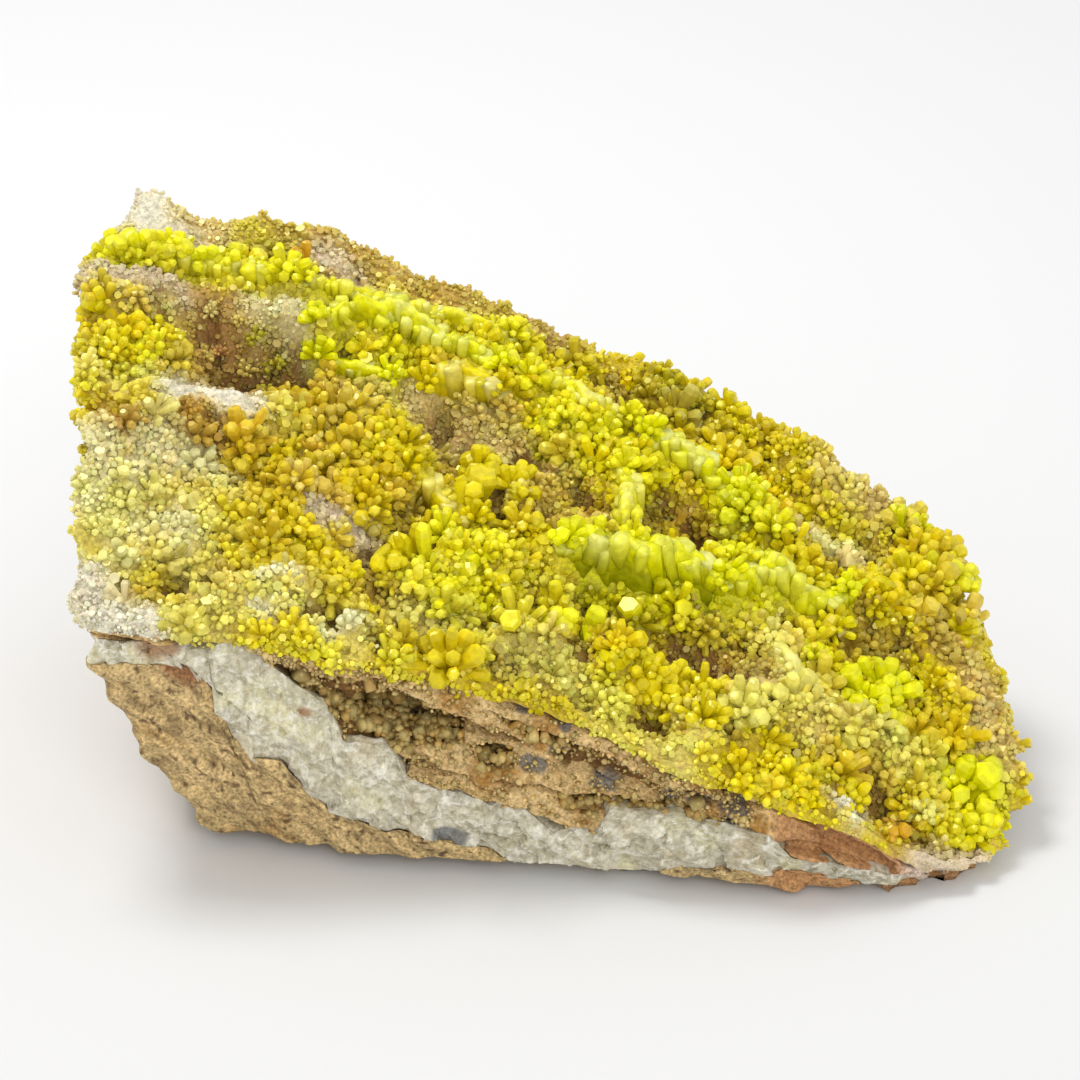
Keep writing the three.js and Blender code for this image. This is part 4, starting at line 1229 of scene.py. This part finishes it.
def face_points(pitch, random):
    """Points over the face, even along its slopes: one at random in each cell of a fine plan
    grid, kept by chance in proportion to how steep the face is there, and inside the rim."""
    half_length, half_depth = 48, 31
    steepest = 2.2
    cell = pitch / math.sqrt(steepest)
    across = np.arange(-half_length, half_length, cell)
    grid_x, grid_y = np.meshgrid(across, np.arange(-half_depth, half_depth, cell))
    x = (grid_x + random.uniform(-0.5, 0.5, grid_x.shape) * cell).ravel()
    y = (grid_y + random.uniform(-0.5, 0.5, grid_x.shape) * cell).ravel()
    area = 1 / normals_at(x, y)[:, 2]
    inset = 0.992
    rim = rim_points(np.linspace(0, 1, 400, endpoint=False))[:, :2] * inset
    kept = inside(rim, x, y) & (random.uniform(0, steepest, len(x)) < area)
    return x[kept], y[kept]


def hollow_at(x, y):
    """How much of a hollow each point lies in, 0 to 1."""
    return smoothstep(0.3, 1.9, hole_depth(x, y) - 0.4 * bumps(SWELLS, x, y))


def whiteness(tint):
    """How near a colour is to white: 0 for the yellows, 1 for cream and paler."""
    return smoothstep(0.1, 0.55, tint[..., 2] / tint[..., 0])


def crystal_looks(x, y, random):
    """Root colour, tip colour and size of the crystals at each point. The zone's colour varies
    from crystal to crystal, is deeper and darker at the root as painted shade, a little paler
    at the tip as painted light, and pale at the tip where frosted. In hollows the crystals are
    small and tan, and dimmed as painted shade."""
    count = len(x)
    tint, size = look_at(x, y)
    hollow = hollow_at(x, y)
    white = whiteness(tint)
    # Tan in the hollows is the crystals' colour; the dimming by up to three tenths is painted shade.
    tint = mixed(tint, TAN, 0.6 * hollow) * (1 - 0.3 * hollow)[:, None]
    tint = tint * (1 + 0.12 * random.uniform(-1, 1, (count, 1)))
    tint = tint * (1 + 0.05 * random.uniform(-1, 1, (count, 3)))
    patch = smoothstep(0.05, 0.5, layered_noise(plan(x, y), 3.0, 131, 3))
    crest = smoothstep(0.2, 1.2, relief(x, y))
    frost = (0.45 * patch + 0.25 * crest) * (1 - hollow) * (0.2 + white)
    frost = frost * random.uniform(0.1, 1, count)
    # Painted shade and light: roots deeper and darker than the zone's colour, tips a little paler.
    deeper, white_deeper = np.array([0.8, 0.72, 0.5]), np.array([0.97, 0.93, 0.88])
    roots = tint * mixed(deeper, white_deeper, white)
    tips = mixed(mixed(tint, PALE, 0.05 * (1 - hollow)), FROST, frost)
    return roots, tips, size * (1 - 0.25 * hollow)


def crystal_seats(pitch, seed, sizes, clearance):
    """Where crystals of a range of sizes lie over the face, away from the ridge walls: their
    seats, looks and sizes, and the random draws that go on from there."""
    random = np.random.default_rng(seed)
    x, y = face_points(pitch, random)
    roots, tips, size = crystal_looks(x, y, random)
    smallest, largest = sizes
    kept = (size > smallest) & (size < largest) & (beside_wall(x, y) > clearance)
    x, y = x[kept], y[kept]
    seats = np.stack([x, y, druse_floor(x, y)], axis=-1)
    return seats, normals_at(x, y), roots[kept], tips[kept], size[kept], random


def beside_wall(x, y):
    """How far each point is from the nearest ridge wall's face, least in front of the wall."""
    forward, inner_share = 0.3, 0.3
    gaps = [
        distance_to(line, x, y + forward) - inner_share * thickness
        for line, _, thickness, _, _ in WALLS
    ]
    return np.min(gaps, axis=0)


def single_crystals(name, pitch, radius, length, lean, profile, seed, sizes, parts):
    """Crystals one by one over the face, wherever the look's size lies in a range."""
    found = crystal_seats(pitch, seed, sizes, 1.2 * radius)
    seats, upward, roots, tips, size, random = found
    count, smallest, towards_front = len(seats), 0.45, 0.12
    axes = upward + lean * random.normal(0, 1, (count, 3))
    axes[:, 1] -= towards_front
    grown = np.maximum(size, smallest) * np.exp(random.normal(0, 0.28, count))
    lengths = length * grown * random.uniform(0.6, 1.4, count)
    crystals(name, seats, axes, radius * grown, lengths, profile, roots, tips, random, parts)


def radiating(name, centres, axes, reach, each, spread, slim, roots, tips, profile, random,
              parts=1, material=SMALL_CRYSTAL):
    """Bunches whose crystals radiate from one centre: their directions are spaced evenly over a
    cap about the bunch's axis by the golden angle, and each crystal's radius is slim times its
    share of the cap, sqrt(2 (1 - cos spread) / each) times the reach: at slim 1 they touch."""
    axes = unit(axes)
    first, second = frame_round(axes)
    count, step = len(centres), np.arange(each)[None, :]
    spread = np.broadcast_to(spread, (count,))[:, None]
    cosine = 1 - (step + 0.5) / each * (1 - np.cos(spread))
    sine = np.sqrt(1 - cosine**2)
    turn = step * GOLDEN_ANGLE + random.uniform(0, 2 * np.pi, (count, 1))
    aside = np.cos(turn)[..., None] * first[:, None] + np.sin(turn)[..., None] * second[:, None]
    rays = cosine[..., None] * axes[:, None] + sine[..., None] * aside
    rays = rays + 0.13 * random.normal(0, 1, rays.shape)
    radii = slim * np.sqrt(2 * (1 - np.cos(spread)) / each) * reach[:, None]
    radii = radii * np.exp(random.normal(0, 0.2, (count, each)))
    lengths = reach[:, None] * (1 + 0.28 * random.uniform(-1, 1, (count, each)))
    own = 1 + 0.1 * random.uniform(-1, 1, (count, each, 1))
    roots = (roots[:, None] * own).reshape(-1, 3)
    tips = (tips[:, None] * own).reshape(-1, 3)
    crystals(name, np.repeat(centres, each, axis=0), rays.reshape(-1, 3), radii.ravel(),
             lengths.ravel(), profile, roots, tips, random, parts, material=material)


def druse_bunches(name, pitch, each, reach, slim, profile, seed, sizes, parts):
    """Bunches all over the face, wherever the look's size lies in a range. They lean back a
    little, and their centres are sunk under the floor."""
    seats, upward, roots, tips, size, random = crystal_seats(pitch, seed, sizes, 0.4 * reach)
    count, lean_back, sunk_share, spread = len(seats), 0.25, 0.12, math.radians(76)
    axes = upward + 0.25 * random.normal(0, 1, (count, 3))
    axes[:, 1] += lean_back
    reaches = reach * size**0.6 * np.exp(random.normal(0, 0.22, count))
    centres = seats - sunk_share * reaches[:, None] * upward
    radiating(name, centres, axes, reaches, each, spread, slim, roots, tips, profile, random,
              parts)


def placed_bunches():
    """The large bunches, each where and as its table row says; one mesh for each crystal count.
    Bunches of up to five crystals are stout lumps, and the others are spread fingers, twice as
    many as their row says."""
    table = np.array([row[:7] for row in BUNCHES])
    colours = np.array([row[7] for row in BUNCHES])
    for each in sorted(set(table[:, 5].astype(int))):
        rows = table[:, 5] == each
        random = np.random.default_rng(211 + each)
        x, y, lean_x, lean_y, reach, _, spread = table[rows].T
        stout = each < 6
        sunk_share, slim = (0.35, 0.95) if stout else (0.15, 0.7)
        fingers, wider = (each, 0) if stout else (2 * each, 12)
        axes = unit(np.stack([lean_x, lean_y, np.ones_like(x)], axis=-1))
        seats = np.stack([x, y, face_height(x, y) + 0.4 * relief(x, y)], axis=-1)
        centres = seats - sunk_share * reach[:, None] * axes
        # Painted shade and light: roots a tenth darker than the bunch's colour, tips a tenth of the way
        # to pale.
        roots, tips = colours[rows] * 0.9, mixed(colours[rows], PALE, 0.1)
        radiating(f"tall_crystals_{each}", centres, axes, reach * 1.05, fingers,
                  np.radians(spread + wider), slim, roots, tips, RAY, random, material=CRYSTAL)


def steep_druse(grid, count, seed):
    """Small crystals on the steep walls of the hollows: seats drawn from the floor's own grid,
    by the area of its cells, and leaning out along the normal of each cell."""
    random = np.random.default_rng(seed)
    corner = grid[:-1, :-1]
    over = np.cross(grid[:-1, 1:] - corner, grid[1:, :-1] - corner)
    area = np.linalg.norm(over, axis=-1)
    outward = over / area[..., None]
    steep = smoothstep(0.75, 0.45, outward[..., 2]) * (inward(corner[..., 0], corner[..., 1]) > 0.8)
    chance = (area * steep).ravel()
    at = random.choice(len(chance), count, p=chance / chance.sum())
    seats = corner.reshape(-1, 3)[at]
    roots, tips, size = crystal_looks(seats[:, 0], seats[:, 1], random)
    kept = (size > 0.22) & (beside_wall(seats[:, 0], seats[:, 1]) > 0.3)
    axes = outward.reshape(-1, 3)[at] + 0.4 * random.normal(0, 1, (count, 3)) + np.array([0, 0, 0.2])
    grown = (np.clip(size, 0.4, 0.9) * random.uniform(0.6, 1.3, count))[kept]
    crystals("steep_druse", seats[kept], axes[kept], 0.42 * grown, 0.8 * grown, STUB,
             roots[kept], tips[kept], random)


def mirror_crystal():
    """A stout green crystal whose clean flat end throws back the light from above."""
    x, y, sunk_by = np.array([9.2]), np.array([-10.6]), 0.4
    crystals(
        "mirror_crystal",
        seats=np.stack([x, y, face_height(x, y) - sunk_by], axis=-1),
        axes=np.array([[-0.19, -0.47, 0.86]]),
        radii=np.array([1.15]),
        lengths=np.array([3.2]),
        profile=BARREL,
        roots=LIME[None] * 0.8,
        tips=LEMON[None],
        random=np.random.default_rng(215),
        material=CRYSTAL,
    )


def edge_crystals(name, count, seed):
    """Small crystals that spill over the broken edge of the crust, pointing outwards: most of
    them near its top, smaller lower down on the front, and larger round the rest of the rim."""
    random = np.random.default_rng(seed)
    stations = rim_stretch(0, 1, 1500)
    top = side_top(stations)
    thickness = top[:, 2] - crust_base(top[:, 0], top[:, 1])
    chance = np.sqrt(np.clip(thickness, 0.5, None))
    turn = random.choice(stations, count, p=chance / chance.sum())
    turn = turn + random.uniform(-0.0005, 0.0005, count)
    low = crust_foot(turn)
    up = 1 - (1 - low) * random.uniform(0, 1, count) ** 1.4 * 0.9
    ground = side_point(turn, up)
    outward = side_normal(turn, up)
    seats = ground + outward * side_relief(ground)[:, None]
    drop = face_height(seats[:, 0], seats[:, 1]) - druse_floor(seats[:, 0], seats[:, 1])
    seats[:, 2] -= drop * smoothstep(0.7, 1, up)
    roots, tips, size = crystal_looks(seats[:, 0], seats[:, 1], random)
    axes = outward * 0.8 + 0.35 * random.normal(0, 1, (count, 3)) + np.array([0, 0, 0.45])
    grown = np.clip(size, 0.5, 1.1) * random.uniform(0.4, 1.0, count)
    on_front = seats[:, 1] < -18
    grown = grown * np.where(on_front, 0.6 + 0.4 * smoothstep(0.9, 1, up), 1.25)
    crystals(name, seats, axes, 0.42 * grown, 0.9 * grown, STUB, roots, tips, random)


def ledge_crystals(points, recess):
    """Amber lumps, dimmed by painted shade, heaped on the floors of the slots, and crumbs over the
    fronts of the shelves.
    A lump is brought forward where the slot has a floor a little below it."""
    random = np.random.default_rng(209)
    front = (points[:, 1] < 2) & (points[:, 0] > -30) & (points[:, 0] < 20)
    floor_below = np.array([0, 0, 1.3])
    for name, chosen, count, radius, tip in (
        # Painted shade: the slot lumps' amber and shelf tip colour is dimmed to seven tenths.
        ("slot_crystals", front & (recess > 1.2), 3000, 0.3, AMBER * 0.35 + SHELF * 0.35),
        ("shelf_crumbs", front & (recess < 0.3), 1900, 0.14, SHELF),
    ):
        at = random.choice(np.flatnonzero(chosen), count)
        seats = points[at] + random.normal(0, 0.1, (count, 3))
        floor = smoothstep(2.5, 0.5, slot_depth(seats - floor_below))
        seats[:, 1] -= recess[at] * floor * random.uniform(0.1, 0.85, count)
        seats[:, 2] -= 0.3 * floor * (recess[at] > 1)
        axes = np.array([0, -1, 0.5]) + random.normal(0, 0.6, (count, 3))
        grown = np.exp(random.normal(0, 0.35, count))
        own = 1 + 0.3 * random.uniform(-1, 1, (count, 1))
        tips = mixed(tip, STRAW * 0.7, random.uniform(0, 1, count)) * own
        crystals(name, seats, axes, radius * grown, 2.0 * radius * grown, STUB,
                 OCHRE * own * 0.8, tips, random, rounded=True)


def wall_ends():
    """A bunch of fingers over both ends of every ridge wall."""
    random = np.random.default_rng(229)
    ends = np.array([line[end] for line, *_ in WALLS for end in (0, -1)], float)
    tints = np.array([tint for *_, tint, _ in WALLS for _ in range(2)])
    centres = np.stack([*ends.T, face_height(*ends.T) - 0.2], axis=-1)
    reach = random.uniform(1.9, 2.5, len(ends))
    axes = np.array([0, -0.15, 1.0]) + 0.1 * random.normal(0, 1, (len(ends), 3))
    fingers, spread, slim = 12, math.radians(74), 0.62
    # Painted shade: the fingers' roots are their own colour darkened to 0.88.
    radiating("ridge_ends", centres, axes, reach, fingers, spread, slim, tints * 0.88, tints,
              RAY, random)


def wall_line(line, height, seed, pitch):
    """Stations along a wall's line, bent by noise: x, y, the way across, how wide the wall's
    fused columns are there (0 to 1), how near the ends it is (0 at both ends, 1 between), and
    the height of its top."""
    column, bend_by = 2.7, 0.9
    line = np.asarray(line, float)
    run = run_along(line)
    station = np.linspace(0, run[-1], int(run[-1] / pitch))
    x, y = np.interp(station, run, line[:, 0]), np.interp(station, run, line[:, 1])
    ends = np.clip(np.sin(np.pi * np.linspace(0.02, 0.98, len(station))), 0, 1) ** 0.4
    bend = layered_noise(plan(x, y), 2.6, seed, 3) * ends**2
    direction = unit(np.stack([np.gradient(x), np.gradient(y)], axis=1))
    across = np.stack([-direction[:, 1], direction[:, 0]], axis=1)
    x, y = x + across[:, 0] * bend_by * bend, y + across[:, 1] * bend_by * bend
    columns = np.abs(np.sin(station * np.pi / column + 3.2 * bend))
    top = height * ends * (0.85 + 0.12 * columns + 0.2 * noise(plan(x, y), 2.4, seed + 3))
    return x, y, across, columns, ends, top


def wall_points(line, height, thickness, seed):
    """A wall that follows a line over the face: at each station an upright loop, thickness
    across and height up, pinched at both ends and spread at its root. Also the share of the
    height that each point stands at."""
    x, y, across, columns, ends, top = wall_line(line, height, seed, 0.2)
    squareness, root_depth, sunk_by, lean_front = 0.6, 3.6, 0.9, 0.12
    loop = np.linspace(0, 2 * np.pi, 24, endpoint=False)[None, :]
    rise, aside = np.sin(loop), np.cos(loop)
    above = np.sign(rise) * np.abs(rise) ** squareness * top[:, None]
    up = np.where(rise > 0, above, root_depth * rise)
    flute = 0.8 + 0.2 * columns[:, None] ** 0.6
    wide = 0.5 * thickness * ends[:, None] * flute * np.sign(aside) * np.abs(aside) ** squareness
    below = np.clip(-rise, 0, 1)
    wide = wide * (1 + 0.8 * below) + 0.25 * below
    points = np.stack([
        x[:, None] + across[:, :1] * wide,
        y[:, None] + across[:, 1:] * wide - lean_front * np.clip(up, 0, None),
        (face_height(x, y) - sunk_by)[:, None] + up,
    ], axis=-1)
    points += 0.5 * noise_vectors(points, 1.7, seed) * smoothstep(0.3, 0.9, ends)[:, None, None]
    return points, np.clip(up / height, 0, 1)


def wall_seed(number):
    """The seed that a wall's noises and its blocks share."""
    return 141 + 7 * number


def wall_blocks():
    """Stout crystals fused into every wall at odd angles, so that it reads as a row of blocks:
    one on each side of its line at every station."""
    random = np.random.default_rng(213)
    sunk_by = 0.9
    seats, lengths, radii, roots, tips = [], [], [], [], []
    for number, (line, height, thickness, tint, root) in enumerate(WALLS):
        x, y, across, _, ends, top = wall_line(line, height, wall_seed(number), 0.75)
        count = len(x)
        for side in (-0.3, 0.35):
            off = thickness * (ends * side + random.normal(0, 0.1, count))
            at = [x + across[:, 0] * off, y + across[:, 1] * off, face_height(x, y) - sunk_by]
            seats.append(np.stack(at, axis=-1))
            lengths.append(top * random.uniform(0.55, 1.12, count))
            radii.append(0.4 * thickness * np.exp(np.clip(random.normal(0, 0.3, count), -1, 0.3)))
            shade = 1 + 0.1 * random.uniform(-1, 1, (count, 1))
            roots.append((root * 0.4 + tint * 0.6) * shade)
            tips.append(mixed(tint * shade, FROST, 0.3 * random.uniform(0, 1, count) ** 1.5))
    seats, lengths, radii = map(np.concatenate, (seats, lengths, radii))
    roots, tips = map(np.concatenate, (roots, tips))
    axes = np.array([0, -0.15, 1]) + random.normal(0, 0.19, seats.shape)
    crystals("ridge_blocks", seats, axes, radii, lengths, BARREL, roots, tips, random,
             rounded=True, material=CRYSTAL)


def ridge_walls():
    """All the walls in one mesh, deep coloured at the root, darkened there further by painted shade, and
    frosted along the top.
    """
    points, quads, fans, tints, start = [], [], [], [], 0
    for number, (line, height, thickness, tint, root) in enumerate(WALLS):
        rows, up = wall_points(line, height, thickness, wall_seed(number))
        wall, faces, ends = closed_rows(rows)
        share = np.concatenate([up.ravel(), [0, 0]])
        cloud = layered_noise(wall, 1.4, 151, 3)
        # Partly painted shade: the root's own deep colour, darkened further to 0.85 at the foot of the
        # wall.
        body = mixed(root * 0.85, tint, smoothstep(0, 0.6, share + 0.2 * cloud))
        frost = mixed(PALE, FROST, np.clip(0.4 + 0.6 * cloud, 0, 1))
        points.append(wall)
        quads.append(faces + start)
        fans.append(ends + start)
        tints.append(mixed(body, frost, smoothstep(0.7, 1.0, share + 0.25 * cloud) * 0.35))
        start += len(wall)
    points, quads, fans, tints = map(np.concatenate, (points, quads, fans, tints))
    build("fused_ridge_crystals", points, quads, fans, tints, CRYSTAL_MASS)


# ---- Stage -----------------------------------------------------------------------------------


def make_table():
    """A white sweep under the specimen, whose colour is painted brighter towards the back as
    painted light.
    """
    half = 3.0
    corners = [(-half, -half, 0), (half, -half, 0), (half, half, 0), (-half, half, 0)]
    mesh = bpy.data.meshes.new("table_top")
    mesh.from_pydata(corners, [], [(0, 1, 2, 3)])
    floor = new_object("table_top", mesh)
    material = bpy.data.materials.new("white_paper")
    material.use_nodes = True
    tree = material.node_tree
    shader = tree.nodes["Principled BSDF"]
    place = add(tree, "ShaderNodeTexCoord")
    split = add(tree, "ShaderNodeSeparateXYZ", links={0: place.outputs["Object"]})
    # Painted light: the sweep's own colour grows brighter from front to back.
    painted_light_falloff = {"From Min": -0.15, "From Max": 0.3, "To Min": 0.72, "To Max": 0.97}
    tone = add(tree, "ShaderNodeMapRange", painted_light_falloff, {"Value": split.outputs["Y"]})
    tree.links.new(tone.outputs[0], shader.inputs["Base Color"])
    shader.inputs["Roughness"].default_value = 0.9
    mesh.materials.append(material)


def make_light():
    """White light from all round, and two soft lamps: above, and in front."""
    world = bpy.data.worlds.new("studio")
    world.use_nodes = True
    background = world.node_tree.nodes["Background"]
    background.inputs["Color"].default_value = (1, 1, 1, 1)
    background.inputs["Strength"].default_value = 0.7
    bpy.context.scene.world = world
    aim = Vector((0, 0, 0.02))
    for name, place, size, power in (
        ("softbox_above", (-0.14, 0.06, 0.42), 0.14, 0.85),
        ("softbox_front", (0.10, -0.40, 0.26), 0.20, 0.55),
    ):
        light = bpy.data.lights.new(name, "AREA")
        light.size = size
        light.energy = power
        lamp = new_object(name, light)
        lamp.location = place
        lamp.rotation_mode = "QUATERNION"
        lamp.rotation_quaternion = (aim - Vector(place)).to_track_quat("-Z", "Y")


def make_camera():
    """The camera looks along +Y and 27 degrees down, from 300 mm."""
    elevation, distance = math.radians(27), 300.0
    target = np.array([0, 0, 24.0])
    place = target + distance * np.array([0, -math.cos(elevation), math.sin(elevation)])
    data = bpy.data.cameras.new("camera")
    data.lens = 100
    data.sensor_width = 36
    data.clip_start = 0.01
    data.clip_end = 20
    camera = new_object("camera", data)
    camera.location = Vector(((place + SHIFT) / 1000).tolist())
    camera.rotation_mode = "QUATERNION"
    camera.rotation_quaternion = Vector((target - place).tolist()).to_track_quat("-Z", "Y")
    bpy.context.scene.camera = camera


make_camera()
make_table()
make_light()
host_piece()
quartz_piece()
ledge_points, ledge_recess = ledges_piece()
face_grid = crust_piece()

ridge_walls()
wall_blocks()
wall_ends()
placed_bunches()
mirror_crystal()

# Bunches of three sizes: spacing, crystals in each, reach, slimness, profile, seed, the range of
# the look's size, and number of meshes.
druse_bunches("druse_masses", 3.0, 12, 2.5, 0.52, RAY, 221, (0.8, 9), 2)
druse_bunches("druse_knobs", 2.1, 8, 1.8, 0.56, SHORT_RAY, 223, (0.56, 9), 2)
druse_bunches("druse_buds", 1.45, 6, 0.85, 0.9, BUD, 225, (0.34, 0.9), 2)

# Crystals one by one: spacing, radius, length, lean, and then as for the bunches.
single_crystals("fine_druse", 0.6, 0.5, 0.75, 0.45, STUB, 205, (0.24, 0.6), 2)

# The rest: how many, and seed.
steep_druse(face_grid, 4200, 227)
edge_crystals("edge_crystals", 3600, 207)
ledge_crystals(ledge_points, ledge_recess)

# Light need not go round many times between pale crystals, and the world is one even white.
bpy.context.scene.view_settings.view_transform = "Standard"
bpy.context.scene.cycles.max_bounces = 3
bpy.context.scene.cycles.diffuse_bounces = 2
bpy.context.scene.world.cycles.sampling_method = "NONE"
